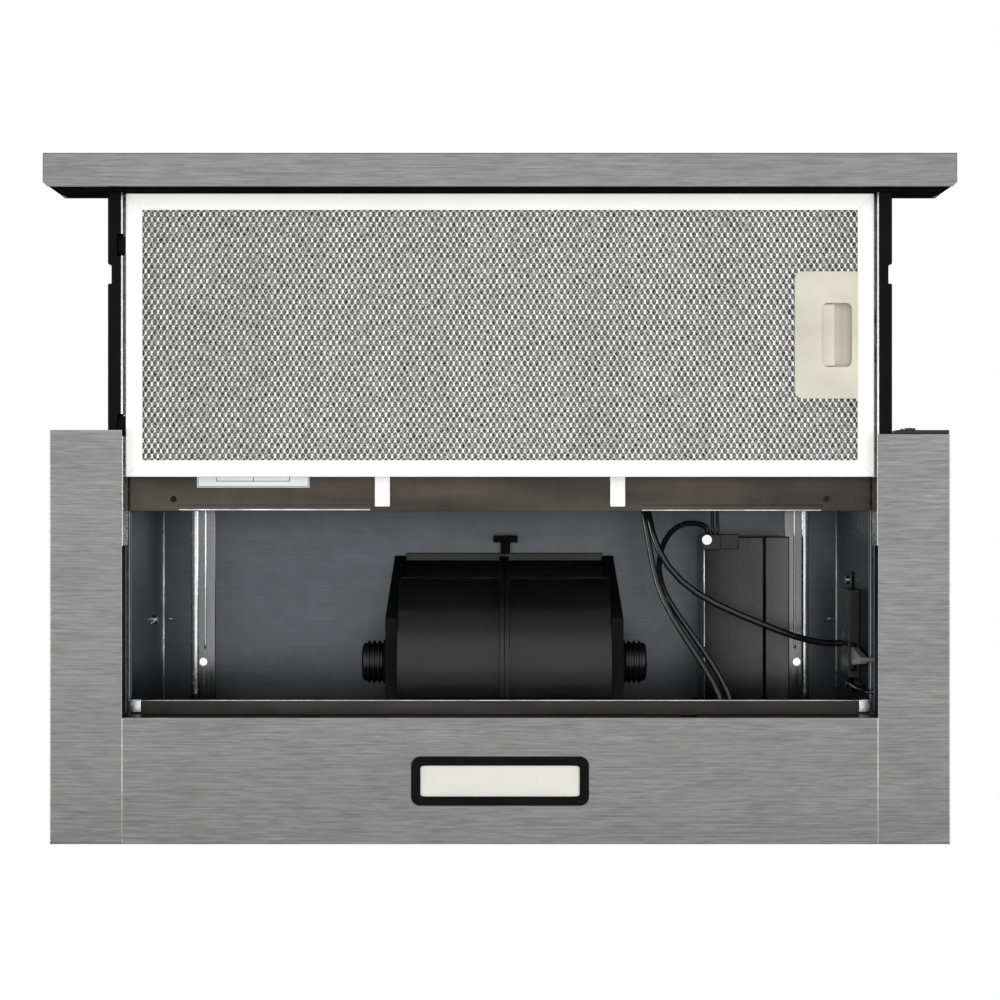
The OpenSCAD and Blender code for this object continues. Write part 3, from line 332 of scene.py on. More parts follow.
DULL_ZINC = dict(
    roughness=0.42, rough=(0.38, 0.50), relief=(0.00004, 0.3),
    layers=[((0.012, 0.03, 0.03), (2,), (0.85, 1.15)), ((0.10, 0.02, 0.02), (2,), (0.75, 1.3))],
)
BANDS = (0.030, 0.40, 0.40)
LAYERED = {
    # Duller, warmer zinc coat of the front shelf, and the grey one of the rear shelf, both darkened
    # as painted shade of the interior
    "shelf_steel": dict(base="steel.shelf", **DULL_ZINC),
    "rear_steel": dict(base="steel.rear_shelf", **DULL_ZINC),
    # Painted highlight along a fold or hem: a bright line of zinc on a rounded rod
    "polished_fold": dict(
        base="steel.folds", roughness=0.22, rough=(0.40, 0.16),
        layers=[((0.018, 0.018, 0.004), (3, 0.6), (0.65, 1.1, 0.38, 0.62))],
    ),
    # Glossy rolled strips behind the fixing holes
    "stiffener_steel": dict(
        base="steel.stiffener", roughness=0.16,
        rough=(0.14, 0.24), relief=(0.00003, 0.4),
        layers=[((0.0012, 0.05, 0.05), (2,), (0.80, 1.2))],
    ),
    # Bright plated small parts; also laid on the rolled ridges and pressed lances as painted
    # highlight
    "bright_steel": dict(
        base="steel.bright", roughness=0.2, rough=(0.16, 0.30),
        layers=[((0.004, 0.004, 0.004), (3, 0.6), (0.85, 1.1))],
    ),
    # Plated motor can, with faint turning marks
    "motor_steel": dict(
        base=(0.34, 0.34, 0.35), roughness=0.35, metallic=0.9,
        rough=(0.28, 0.45), relief=(0.00002, 0.4),
        layers=[((0.0006, 0.02, 0.02), (2,), (0.85, 1.12))],
    ),
    # Bare aluminium of the expanded mesh: each strand a little different
    "mesh_aluminium": dict(
        base="filter.mesh_colour", roughness=0.3, rough=(0.22, 0.42),
        layers=[((0.0022,) * 3, (2,), (0.62, 1.25)), (BANDS, (2,), (0.86, 1.08))],
    ),
    # Flat spots of the mesh in a far lighter copy of the aluminium: painted highlight, some
    # brighter than others
    "bond_aluminium": dict(
        base="filter.bond_colour", roughness=0.3, rough=(0.40, 0.22),
        layers=[((0.0034,) * 3, (1,), (0.55, 1.15)), (BANDS, (2,), (0.80, 1.10))],
    ),
    # Crumpled inner layers of the filter, with painted shade in their folds: the noise that dents
    # them also darkens them
    "pack_aluminium": dict(
        base="filter.pack_colour", roughness=0.45, metallic=0.6,
        rough=(0.60, 0.30), relief=(0.0004, 1.0),
        layers=[((0.0018,) * 3, (3, 0.7), (0.10, 2.2, 0.35, 0.75))],
    ),
    # Pale powder coat with orange peel
    "pale_frame": dict(
        base="filter.frame_colour", roughness=0.38, metallic=0.0,
        rough=(0.32, 0.44), relief=(0.00003, 0.4),
        layers=[((0.0012,) * 3, (2,), (0.985, 1.015)), ((0.05,) * 3, (1,), (0.98, 1.02))],
    ),
    # Opal lens: soft inside, with a polished skin and faint prism lines
    "lamp_lens": dict(
        base="moulding.lens", roughness=0.30, metallic=0.0, relief=(0.00003, 0.3),
        layers=[
            ((0.0010, 0.0300, 0.0300), (1,), (0.985, 1.01)),
            ((0.04, 0.012, 0.012), (1,), (0.97, 1.02)),
        ],
        sockets={"Subsurface Weight": 0.15, "Subsurface Scale": 0.004, "Coat Weight": 0.2},
    ),
    # Blank foil label
    "label_paper": dict(
        base=(0.80, 0.84, 0.85), roughness=0.32, metallic=0.0, relief=(0.00004, 0.2),
        layers=[((0.006, 0.006, 0.006), (2,), (0.97, 1.02))], sockets={"Coat Weight": 0.3},
    ),
    # Plain matt studio floor
    "pale_floor": dict(
        base=(0.82, 0.82, 0.81), roughness=0.7, metallic=0.0,
        layers=[((0.4, 0.4, 0.4), (2,), (0.98, 1.02))],
    ),
}


def moulded_plastic(name, base, roughness, grain=0.0006, depth=0.00002, coat=0.0, mirror=0.5):
    """Moulded plastic: fine spark-eroded grain, slow unevenness and rubbed patches.

    mirror sets how much it mirrors when seen straight on.
    """
    sockets = {"Coat Weight": coat, "Coat Roughness": 0.15, "Specular IOR Level": mirror}
    f = Finish(name, base, roughness, 0.0, sockets)
    skin = f.noise((grain,) * 3, 2, 0.6)
    cloud = f.noise((0.03, 0.03, 0.03))
    f.tint(f.span(cloud, 0.90, 1.10), f.span(skin, 0.97, 1.03))
    patches = f.span(cloud, roughness - 0.05, roughness + 0.06)
    f.rough(f.math("ADD", patches, f.span(skin, -0.02, 0.02)))
    f.relief(skin, depth, 0.5)
    return f.material


# Colour, roughness, and where they differ the size and depth of the grain, coat and mirror
PLASTICS = {
    # Black mouldings: satin, finely textured, and the flocked face behind the bar
    "black_plastic": dict(base="moulding.black", roughness=0.30, mirror=0.34),
    "matt_black": dict(
        base="moulding.black", roughness=0.48,
        grain=0.0007, depth=0.00004, mirror=0.02,
    ),
    "carrier_black": dict(
        base="moulding.black", roughness=0.9,
        grain=0.0012, depth=0.00006, mirror=0.0,
    ),
    # Smooth PVC sheath of the cables
    "black_rubber": dict(base="moulding.rubber", roughness=0.16, grain=0.0015, depth=0.00001),
    # Smoke grey lever of the drawer switch
    "lever_plastic": dict(base=(0.16, 0.16, 0.155), roughness=0.3),
    # Clips and glides
    "white_plastic": dict(base="moulding.white", roughness=0.38),
    # Filter latch
    "beige_plastic": dict(base="moulding.beige", roughness=0.42, grain=0.0005, depth=0.00003),
    "knob_plastic": dict(base=(0.03, 0.03, 0.032), roughness=0.36),
    # Glass-filled plastic of the fan wheels
    "wheel_plastic": dict(base=(0.10, 0.10, 0.105), roughness=0.45, grain=0.0009, depth=0.00004),
    "capacitor_plastic": dict(base=(0.62, 0.62, 0.59), roughness=0.35),
    # Solder resist of the lamp's board
    "led_board": dict(base=(0.82, 0.82, 0.80), roughness=0.3, grain=0.002, depth=0.00001, coat=0.3),
    # Ruled lines of the label
    "label_ink": dict(base=(0.05, 0.07, 0.08), roughness=0.5),
}
# Zinc coated sheet: darker inside as painted shade, clean and with stronger crystals outside
ZINCS = {
    "galvanised_steel": ("steel.galvanised", 0.06),
    "clean_zinc": ("steel.zinc", 0.078),
}
SLOT_FINISH = {"filter_aluminium": "mesh_aluminium"}


def finish(name):
    """The named finish, made once."""
    name = SLOT_FINISH.get(name, name)
    made = bpy.data.materials.get(FINISH_PREFIX + name)
    if made:
        return made
    if name in LAYERED:
        return layered(name, **LAYERED[name])
    if name in PLASTICS:
        return moulded_plastic(name, **PLASTICS[name])
    if name in ZINCS:
        return zinc(name, *ZINCS[name])
    return {"brushed_steel": brushed_steel, "box_steel": box_steel}[name]()


# -----
# Shapes
# -----


WELD = 0.002 * MM
FLAT, SHARP = math.radians(0.8), math.radians(35)
FACING = 0.5  # cosine above which a face looks along a direction
CARRIES_ON = 0.9  # radians by which a chain of edges may turn
EDGE_ROOM, FACE_ROOM = 2.05, 2.2  # least size of edges and faces beside a rounding, in its widths


def welded(node):
    """A CAD node's shape with its points welded."""
    bm = bmesh.new()
    bm.from_mesh(frame["nodes"][node].data)
    bmesh.ops.remove_doubles(bm, verts=bm.verts, dist=WELD)
    return bm


def node_shape(node):
    """A CAD node's shape, welded and with its flat faces whole."""
    bm = welded(node)
    bmesh.ops.dissolve_limit(bm, angle_limit=FLAT, verts=bm.verts, edges=bm.edges)
    return bm


def breadth(face):
    """About how wide a face is at its narrowest."""
    return 2 * face.calc_area() / face.calc_perimeter()


def bend(a, b, vert):
    """Angle between two edges that meet at vert, zero when one carries on from the other."""
    first = vert.co - a.other_vert(vert).co
    second = b.other_vert(vert).co - vert.co
    if first.length == 0 or second.length == 0:
        return math.pi
    return first.angle(second)


def has_room(edge, chosen, width):
    """True if the edges around this one leave room for a rounding of that width."""
    for vert in edge.verts:
        for other in vert.link_edges:
            if other is edge or (other in chosen and bend(edge, other, vert) < CARRIES_ON):
                continue
            if other.calc_length() < EDGE_ROOM * width:
                return False
    return True


def soften(bm, width, segments=2):
    """Rounds the sharp edges that have room for it."""
    chosen = {
        edge
        for edge in bm.edges
        if edge.is_manifold
        and edge.calc_face_angle(0) > SHARP
        and min(breadth(face) for face in edge.link_faces) > FACE_ROOM * width
    }
    chosen = {edge for edge in chosen if has_room(edge, chosen, width)}
    if chosen:
        bmesh.ops.bevel(
            bm, geom=list(chosen), offset=width, offset_type="OFFSET", segments=segments,
            profile=0.5, affect="EDGES", clamp_overlap=True,
        )


def block(bm, low, high):
    """Adds a block between two corners, in metres."""
    low, high = Vector(low), Vector(high)
    for vert in bmesh.ops.create_cube(bm, size=1.0)["verts"]:
        vert.co = Vector(low[i] + (vert.co[i] + 0.5) * (high[i] - low[i]) for i in range(3))


def turned(bm, profile, centre, axis, sides=48):
    """Adds a solid turned about an axis. profile is a list of (distance along it, radius)."""
    turn = Vector(axis).to_track_quat("Z", "Y").to_matrix()
    angles = [2 * math.pi * k / sides for k in range(sides)]
    loft(bm, [
        [Vector(centre) + turn @ Vector((r * math.cos(a), r * math.sin(a), along)) for a in angles]
        for along, r in profile
    ])


def bead(bm, start, end, radius, sides=10):
    """Adds a rod with rounded ends between two points."""
    start, end = Vector(start), Vector(end)
    reach = (end - start).length
    nose = [(0, 0.45), (0.25, 0.80), (0.8, 1.0)]
    profile = [(share * radius, radius * size) for share, size in nose]
    profile += [(reach - share * radius, radius * size) for share, size in reversed(nose)]
    turned(bm, profile, start, end - start, sides)


def loft(bm, rings, close=True):
    """Joins rings of points with faces, and caps both ends if close is true."""
    made = [[bm.verts.new(point) for point in ring] for ring in rings]
    for lower, upper in zip(made, made[1:]):
        for k in range(len(lower)):
            n = (k + 1) % len(lower)
            bm.faces.new((lower[k], lower[n], upper[n], upper[k]))
    if close:
        bm.faces.new(made[0][::-1])
        bm.faces.new(made[-1])
    return made


def placed(name, data):
    """A new object in the scene."""
    made = bpy.data.objects.new(name, data)
    bpy.context.scene.collection.objects.link(made)
    return made


def piece(name, bm, body, look, nodes=(), sharp=32, weighted=True):
    """Makes a bmesh into a piece that rides on a body and stands for the CAD nodes."""
    bmesh.ops.recalc_face_normals(bm, faces=bm.faces)
    mesh = bpy.data.meshes.new(name)
    for face in bm.faces:
        face.smooth = True
    bm.to_mesh(mesh)
    bm.free()
    mesh.set_sharp_from_angle(angle=math.radians(sharp))
    made = placed(name, mesh)
    mesh.materials.append(finish(look))
    if weighted:
        normals = made.modifiers.new("face_normals", "WEIGHTED_NORMAL")
        normals.keep_sharp = True
        normals.mode = "FACE_AREA"
    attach(made, body)
    if nodes:
        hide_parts(*nodes)
    return made


def formed(node, widths, look=None, segments=2, outer=None):
    """Replaces one CAD node by its own shape with rounded edges, widest rounding first.

    Faces that look along outer get the clean zinc of the body's outside; the others keep the darker
    finish of the inside, which is painted shade.
    """
    bm = node_shape(node)
    for width in widths:
        soften(bm, width, segments)
    made = piece(node + "_formed", bm, BODIES[node], look or SLOTS[node], [node])
    if outer is not None:
        made.data.materials.append(finish("clean_zinc"))
        for face in made.data.polygons:
            face.material_index = int(face.normal.dot(Vector(outer)) > FACING)
    return made


def recolour(node, look=None):
    """Keeps a CAD node's shape and gives it a finish."""
    mesh = frame["nodes"][node].data
    mesh.materials.clear()
    mesh.materials.append(finish(look or SLOTS[node]))


# -----
# Pieces
# -----


class HoodOperator:
    """What all of this file's operators share."""

    bl_options = {"REGISTER", "UNDO"}

    def execute(self, context):
        self.build()
        return {"FINISHED"}


class HOOD_OT_stage(HoodOperator, Operator):
    """Camera under the hood, soft lights and a pale floor"""

    bl_idname = "hood.stage"
    bl_label = "Stage"

    # Name, place, target and size of each light
    softboxes = (
        ("key", (0.0, -0.35, -1.95), (0, 0, 0), (2.6, 1.9)),
        ("left", (-1.95, 0.15, -0.95), (-0.1, 0, -0.15), (0.8, 1.4)),
        ("right", (1.95, 0.15, -0.95), (0.1, 0, -0.15), (0.8, 1.4)),
        ("top", (-0.4, -0.5, 2.0), (0, 0, 0), (1.8, 1.8)),
    )

    def build(self):
        stage = settings("stage")
        scene = bpy.context.scene
        scene.view_settings.view_transform = "Standard"
        camera = placed("camera", bpy.data.cameras.new("camera"))
        camera.data.lens = stage.lens
        camera.data.sensor_width = 36
        camera.data.clip_start = 0.01
        camera.location = (0, stage.camera_back, -stage.camera_height)
        camera.rotation_euler = (math.pi, 0, 0)
        scene.camera = camera
        self.sky(scene, stage)
        self.floor(stage)
        for name, place, target, size in self.softboxes:
            radiance = getattr(stage, name + "_radiance")
            self.softbox(name + "_softbox", place, target, size, radiance)

    def sky(self, scene, stage):
        """White backdrop for the camera, a dimmer room for reflections."""
        world = bpy.data.worlds.new("studio")
        scene.world = world
        world.use_nodes = True
        tree = world.node_tree
        room, backdrop = tree.nodes["Background"], tree.nodes.new("ShaderNodeBackground")
        for light, strength in ((room, stage.sky), (backdrop, 1.0)):
            light.inputs["Color"].default_value = (1, 1, 1, 1)
            light.inputs["Strength"].default_value = strength
        path = tree.nodes.new("ShaderNodeLightPath")
        mix = tree.nodes.new("ShaderNodeMixShader")
        tree.links.new(path.outputs["Is Camera Ray"], mix.inputs[0])
        tree.links.new(room.outputs[0], mix.inputs[1])
        tree.links.new(backdrop.outputs[0], mix.inputs[2])
        tree.links.new(mix.outputs[0], tree.nodes["World Output"].inputs["Surface"])

    def floor(self, stage):
        """Broad floor with a gently turned-up rim."""
        bm = bmesh.new()
        half, rim, rise, steps, sides = 5.0, 0.8, 0.2, 10, 64
        rings = []
        for i in range(steps + 1):
            a = 0.5 * math.pi * i / steps
            reach = half + rim * math.sin(a)
            height = -stage.floor_drop + rise * (1 - math.cos(a))
            turns = [2 * math.pi * k / sides for k in range(sides)]
            rings.append([(reach * math.cos(t), reach * math.sin(t), height) for t in turns])
        made = loft(bm, rings, close=False)
        bm.faces.new(made[0])
        bmesh.ops.recalc_face_normals(bm, faces=bm.faces)
        if made[0][0].link_faces[0].normal.z < 0:
            bmesh.ops.reverse_faces(bm, faces=bm.faces)
        mesh = bpy.data.meshes.new("floor")
        bm.to_mesh(mesh)
        bm.free()
        floor = placed("floor", mesh)
        mesh.materials.append(finish("pale_floor"))

    def softbox(self, name, place, target, size, radiance):
        """Area light of an even brightness, aimed at a point."""
        lamp = bpy.data.lights.new(name, "AREA")
        lamp.shape = "RECTANGLE"
        lamp.size, lamp.size_y = size
        lamp.energy = radiance * math.pi * size[0] * size[1]
        made = placed(name, lamp)
        made.location = place
        aim = Vector(target) - Vector(place)
        made.rotation_euler = aim.to_track_quat("-Z", "Y").to_euler()
        made.visible_camera = False


class HOOD_OT_body(HoodOperator, Operator):
    """Roof, walls, shelves, channels and screws of the body"""

    bl_idname = "hood.body"
    bl_label = "Body"

    # Of each ridge, in mm: inset from the strip's edge, half width, height, start and end gaps
    ridge_sizes = ((3.0, 2.6, 1.4, 3, 3), (10.5, 0.9, 0.8, 22, 40))
    # Of each stretch of the shelf's hem: ends in mm, and radius in fold lines
    hem_runs = ((-217, -88, 1.9), (96, 217, 1.2))
    # Places of the lances front to back, and heights of the upright ones, in mm
    lance_rows, lance_heights = (-62, 38, 140), (-22, -50)

    def build(self):
        steel = settings("steel")
        edge = steel.burr_radius
        # Inside faces keep the darker zinc, which is painted shade; faces looking out get the clean
        # zinc
        for node, outer in (
            ("roof_panel", (0, 0, 1)),
            ("side_panel_left", (-1, 0, 0)),
            ("side_panel_right", (1, 0, 0)),
            ("back_panel", (0, 1, 0)),
        ):
            formed(node, [edge], outer=outer)
        formed("front_panel", [edge], "shelf_steel", outer=(0, -1, 0))
        formed("rear_shelf", [edge], "rear_steel")
        formed("fixing_strips", [3 * edge, edge], "stiffener_steel")
        self.ridges()
        self.folds(steel.fold_line)
        self.lances()
        formed("guide_channels", [edge])
        formed("corner_tabs", [edge])
        formed("drawer_buffers", [2 * edge])
        recolour("body_screws")

    def ridges(self):
        """Two rolled ridges along each stiffening strip, in bright plated steel as painted
        highlight.
        """
        low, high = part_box("fixing_strips")
        bm = bmesh.new()
        for side in (-1, 1):
            for inset, half, height, ahead, behind in self.ridge_sizes:
                x = side * (high.x - inset * MM)
                y0, y1 = low.y + ahead * MM, high.y - behind * MM
                self.ridge(bm, x, y0, y1, low.z, half * MM, height * MM)
        # Bright plated finish on the ridges: painted highlight on the strip's own metal
        piece("strip_ridges", bm, "hood", "bright_steel", sharp=50)

    def ridge(self, bm, x, y0, y1, z, half, height):
        """One half-round ridge that fades out at both ends."""
        steps, slope, root, faded = 8, 4 * MM, 0.3 * MM, 0.02
        turns = [math.pi * k / steps for k in range(steps + 1)]
        rings = []
        for y, size in ((y0, faded), (y0 + slope, 1), (y1 - slope, 1), (y1, faded)):
            rise = size * height
            ring = [(x + half * math.cos(t), y, z - rise * math.sin(t)) for t in turns]
            rings.append(ring + [(x - half, y, z + root), (x + half, y, z + root)])
        loft(bm, rings)

    def folds(self, radius):
        """Bright rods along the folds of the shelves, corners, skins and junction box: painted
        highlights of their folded edges.
        """
        shelf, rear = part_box("front_panel"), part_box("rear_shelf")
        skin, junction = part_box("lamp_panel"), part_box("junction_box")
        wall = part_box("side_panel_right")[0].x
        roof_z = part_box("roof_panel")[0].z - 0.6 * MM
        bm = bmesh.new()
        hem_z = shelf[0].z + 0.2 * MM
        for x0, x1, size in self.hem_runs:
            hem_y = shelf[1].y - size * radius
            bead(bm, (x0 * MM, hem_y, hem_z), (x1 * MM, hem_y, hem_z), size * radius)
        rear_y, rear_z = rear[0].y + 0.2 * MM, rear[1].z - 1.2 * MM
        bead(bm, (rear[0].x, rear_y, rear_z), (rear[1].x, rear_y, rear_z), radius)
        skin_y, skin_z = skin[0].y + radius, skin[0].z + radius
        bead(bm, (-wall, skin_y, skin_z), (wall, skin_y, skin_z), radius)
        start_y, end_y = shelf[1].y - 30 * MM, skin[1].y - 3 * MM
        for side in (-1, 1):
            seam, inner = side * wall, side * (wall - 0.4 * MM)
            bead(bm, (seam, skin_y, skin_z), (seam, skin[1].y - radius, skin_z), 0.8 * radius)
            bead(bm, (inner, start_y, roof_z), (inner, end_y, roof_z), radius)
        edge_x, edge_z = junction[0].x + 0.3 * MM, junction[0].z + 0.3 * MM
        start_y, end_y = junction[0].y + MM, junction[1].y - MM
        bead(bm, (edge_x, start_y, edge_z), (edge_x, end_y, edge_z), radius)
        self.lines("fold_lines", bm, "polished_fold")

    def lances(self):
        """Pairs of pressed lances that hold the side panels to the roof, in bright plated steel as
        painted highlight.
        """
        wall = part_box("side_panel_right")[0].x
        roof_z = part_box("roof_panel")[0].z - 0.3 * MM
        low_z, high_z = (height * MM for height in self.lance_heights)
        radius = 0.7 * MM
        bm = bmesh.new()
        for side in (-1, 1):
            tip, root, upright = (side * (wall - gap * MM) for gap in (1.5, 7, 0.2))
            for y in (row * MM for row in self.lance_rows):
                bead(bm, (tip, y, roof_z), (root, y, roof_z), radius)
                bead(bm, (upright, y, low_z), (upright, y, high_z), radius)
        # Bright plated finish on the lances: painted highlight on the panels' own metal
        self.lines("side_lances", bm, "bright_steel")

    def lines(self, name, bm, look):
        """Makes rods of the body into one piece."""
        piece(name, bm, "hood", look, sharp=60, weighted=False)


class HOOD_OT_underside(HoodOperator, Operator):
    """Brushed skin: two side strips and the rear strip"""

    bl_idname = "hood.underside"
    bl_label = "Underside"

    def build(self):
        steel = settings("steel")
        for node in ("underside_left", "underside_right", "lamp_panel"):
            formed(node, [steel.fold_radius, steel.burr_radius], segments=3)


class HOOD_OT_small_parts(HoodOperator, Operator):
    """Shelf clips and the blank rating label"""

    bl_idname = "hood.small_parts"
    bl_label = "Clips and label"

    def build(self):
        formed("shelf_clips", [settings("moulding").edge_radius])
        formed("rating_label", [0.05 * MM])
        self.rules()

    def rules(self):
        """Thin printed frame and columns, with nothing written in them."""
        low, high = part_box("rating_label")
        line, top = 0.45 * MM, low.z
        bottom = top - 0.03 * MM
        bm = bmesh.new()
        # Each frame's inset front and back, and its left and right sides, in mm
        for inset, left, right in ((0.5, 0.5, 75.0), (4.0, 12.9, 62.4)):
            y0, y1 = low.y + inset * MM, high.y - inset * MM
            x0, x1 = low.x + left * MM, low.x + right * MM
            for x in (x0, x1):
                block(bm, (x, y0, bottom), (x + line, y1, top))
            for y in (y0, y1 - line):
                block(bm, (x0, y, bottom), (x1 + line, y + line, top))
        divider = low.x + 38 * MM
        block(bm, (divider, y0, bottom), (divider + line, y1, top))
        piece("label_rules", bm, "hood", "label_ink", weighted=False)


class HOOD_OT_drawer(HoodOperator, Operator):
    """Front bar, carrier, runners, rail covers and glides"""

    bl_idname = "hood.drawer"
    bl_label = "Drawer"

    def build(self):
        steel, moulding = settings("steel"), settings("moulding")
        formed("front_bar", [steel.fold_radius, steel.burr_radius], segments=3)
        formed("bar_carrier", [moulding.edge_radius, 0.4 * moulding.edge_radius], "carrier_black")
        formed("drawer_runners", [steel.burr_radius])
        formed("rail_covers", [moulding.edge_radius, 0.4 * moulding.edge_radius], "matt_black")
        formed("rail_glides", [0.5 * moulding.edge_radius])


def quarter_turn(steps=5):
    """Cosine and sine of the steps of a rounded corner."""
    turns = [0.5 * math.pi * k / steps for k in range(steps + 1)]
    return [(math.cos(t), math.sin(t)) for t in turns]


class HOOD_OT_filter_frame(HoodOperator, Operator):
    """Mitred frame of the grease filter with its hooks"""

    bl_idname = "hood.filter_frame"
    bl_label = "Filter frame"

    wall = 0.8 * MM
    lip = 0.9 * MM
    border = 11 * MM
    hook_reach = 5 * MM
    hook_offset = 60 * MM

    def section(self, height, radius):
        """Channel section: distance in from the outer face, height above the lower face."""
        nose = 0.3 * MM
        corner = [(radius - radius * c, radius - radius * s) for c, s in quarter_turn()]
        lower = corner + [(self.border - nose, 0), (self.border, nose), (self.border, self.lip)]
        inner = [(self.wall, self.lip), (self.wall, height - self.lip)]
        upper = [(n, height - h) for n, h in reversed(lower[:-1])]
        return lower + inner + [(self.border, height - self.lip)] + upper

    def side(self, bm, section, corner, along, inward, reach, gap):
        """One side, cut at 45 degrees at both ends."""
        along, inward = Vector(along), Vector(inward)
        rings = []
        for end in (0, 1):
            ring = []
            for n, h in section:
                u = n + gap if end == 0 else reach - n - gap
                ring.append(Vector(corner) + along * u + inward * n + Vector((0, 0, h)))
            rings.append(ring)
        loft(bm, rings)

    def build(self):
        values = settings("filter")
        low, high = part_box("filter_frame")
        left = low.x + self.hook_reach
        section = self.section(high.z - low.z, values.frame_corner)
        width, depth = high.x - left, high.y - low.y
        bm = bmesh.new()
        z = low.z
        for corner, along, inward, reach in (
            ((left, low.y, z), (1, 0, 0), (0, 1, 0), width),
            ((high.x, low.y, z), (0, 1, 0), (-1, 0, 0), depth),
            ((high.x, high.y, z), (-1, 0, 0), (0, -1, 0), width),
            ((left, high.y, z), (0, -1, 0), (1, 0, 0), depth),
        ):
            self.side(bm, section, corner, along, inward, reach, values.mitre_gap)
        piece("filter_frame_mitred", bm, "grease_filter", "pale_frame", ["filter_frame"], sharp=40)
        hooks = bmesh.new()
        middle = 0.5 * (low.y + high.y)
        for y in (middle - self.hook_offset, middle + self.hook_offset):
            self.hook(hooks, low.x, left + self.wall, y, z)
        piece("filter_hooks", hooks, "grease_filter", "matt_black")

    def hook(self, bm, tip, root, y, z):
        """Flat tongue with rounded outer corners."""
        half, thick, radius, lift = 6 * MM, 1.2 * MM, 2.5 * MM, 0.6 * MM
        x, dy = tip + radius, half - radius
        corner = [(x - radius * s, dy + radius * c) for c, s in quarter_turn()]
        outline = [(root, -half), (root, half), *corner, *((x, -dy) for x, dy in corner[::-1])]
        levels = (z + lift, z + lift + thick)
        loft(bm, [[(x, y + dy, level) for x, dy in outline] for level in levels])


class HOOD_OT_filter_mesh(HoodOperator, Operator):
    """Expanded mesh on both faces of the filter, and the pack between them"""

    bl_idname = "hood.filter_mesh"
    bl_label = "Filter mesh"

    rise = 0.22 * MM  # half the height between the two ends of a strand
    overlap = 0.35 * MM  # how far a strand runs into its bonds
    hidden = 4 * MM  # how far the sheets run under the frame's border
    lower_lift, upper_drop = 0.45 * MM, 1.6 * MM
    pack_drop, pack_gap = 2.2 * MM, 0.5 * MM
    pack_step, crumple, pack_seed = 3.0 * MM, 0.45, 7

    def prism(self, shape, lower, upper):
        """Adds a closed prism between two like rings to a (points, faces) shape."""
        points, faces = shape
        first, count = len(points), len(lower)
        points.extend(lower + upper)
        faces.append(tuple(first + k for k in reversed(range(count))))
        faces.append(tuple(first + count + k for k in range(count)))
        for k in range(count):
            n = (k + 1) % count
            faces.append((first + k, first + n, first + count + n, first + count + k))

    def strand(self, shape, a, b, values, roll):
        """One flat strand from a to b, rolled out of the sheet."""
        along = (b - a).normalized()
        across = Vector((0, 0, 1)).cross(along).normalized()
        up = along.cross(across)
        side = (across * math.cos(roll) + up * math.sin(roll)) * values.strand_width / 2
        thick = (up * math.cos(roll) - across * math.sin(roll)) * values.strand_thickness / 2
        corners = ((-1, -1), (1, -1), (1, 1), (-1, 1))
        self.prism(shape, *([end + side * s + thick * t for s, t in corners] for end in (a, b)))

    def bond(self, shape, middle, values):
        """Flat spot where four strands meet, drawn out along the hood's depth."""
        reach, half = 0.5 * values.bond_length, 0.5 * values.bond_width
        thick = 0.5 * values.strand_thickness
        outline = (
            (0, -reach), (half, -0.5 * reach), (half, 0.5 * reach),
            (0, reach), (-half, 0.5 * reach), (-half, -0.5 * reach),
        )
        levels = (-thick, thick)
        self.prism(shape, *([middle + Vector((x, y, z)) for x, y in outline] for z in levels))

    def sheet(self, name, z, window, keep_out, values, facing):
        """Expanded sheet: rows of bonds joined by diagonal strands."""
        (x0, y0), (x1, y1) = window
        rise = self.rise * facing
        strands, bonds = ([], []), ([], [])
        rows = round((y1 - y0) / values.row_pitch)
        columns = round((x1 - x0) / values.pitch_across)
        row_pitch, pitch = (y1 - y0) / rows, (x1 - x0) / columns
        for row in range(rows):
            for column in range(columns):
                shift = 0.5 * (row % 2)
                start = Vector((x0 + (column + shift) * pitch, y0 + row * row_pitch, z + rise))
                if not inside(start, keep_out):
                    self.bond(bonds, Vector((start.x, start.y, z - rise)), values)
                for turn in (-1, 1):
                    end = Vector((start.x + 0.5 * turn * pitch, start.y + row_pitch, z - rise))
                    if not x0 <= end.x <= x1 or inside(0.5 * (start + end), keep_out):
                        continue
                    step = (end - start).normalized() * self.overlap
                    roll = turn * facing * values.strand_roll
                    self.strand(strands, start - step, end + step, values, roll)
        # Bonds in the lighter aluminium: painted highlight
        self.laid(name + "_bonds", bonds, "bond_aluminium")
        return self.laid(name, strands, "mesh_aluminium")

    def laid(self, name, shape, look):
        """Makes a (points, faces) shape into a piece of the filter."""
        points, faces = shape
        mesh = bpy.data.meshes.new(name)
        mesh.from_pydata(points, [], faces)
        mesh.update()
        mesh.materials.append(finish(look))
        made = placed(name, mesh)
        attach(made, "grease_filter")
        return made

    def pack(self, low, high, keep_out):
        """Crumpled inner layers: a thin closed slab with an uneven face."""
        rng = random.Random(self.pack_seed)
        bm = bmesh.new()
        width, depth = high.x - low.x, high.y - low.y
        nx, ny = round(width / self.pack_step), round(depth / self.pack_step)
        grids = []
        for level in (0, 1):
            grid = []
            for j in range(ny + 1):
                line = []
                for i in range(nx + 1):
                    edge = i in (0, nx) or j in (0, ny)
                    lift = 0 if edge else rng.uniform(0, self.crumple) * MM
                    z = low.z + lift if level == 0 else high.z - lift
                    place = (low.x + width * i / nx, low.y + depth * j / ny, z)
                    line.append(bm.verts.new(place))
                grid.append(line)
            grids.append(grid)
        for level, grid in enumerate(grids):
            for j in range(ny):
                for i in range(nx):
                    face = [grid[j][i], grid[j][i + 1], grid[j + 1][i + 1], grid[j + 1][i]]
                    if not inside(0.5 * (face[0].co + face[2].co), keep_out):
                        bm.faces.new(face if level else face[::-1])
        bmesh.ops.delete(bm, geom=[v for v in bm.verts if not v.link_faces], context="VERTS")
        self.close(bm, grids)
        return bm

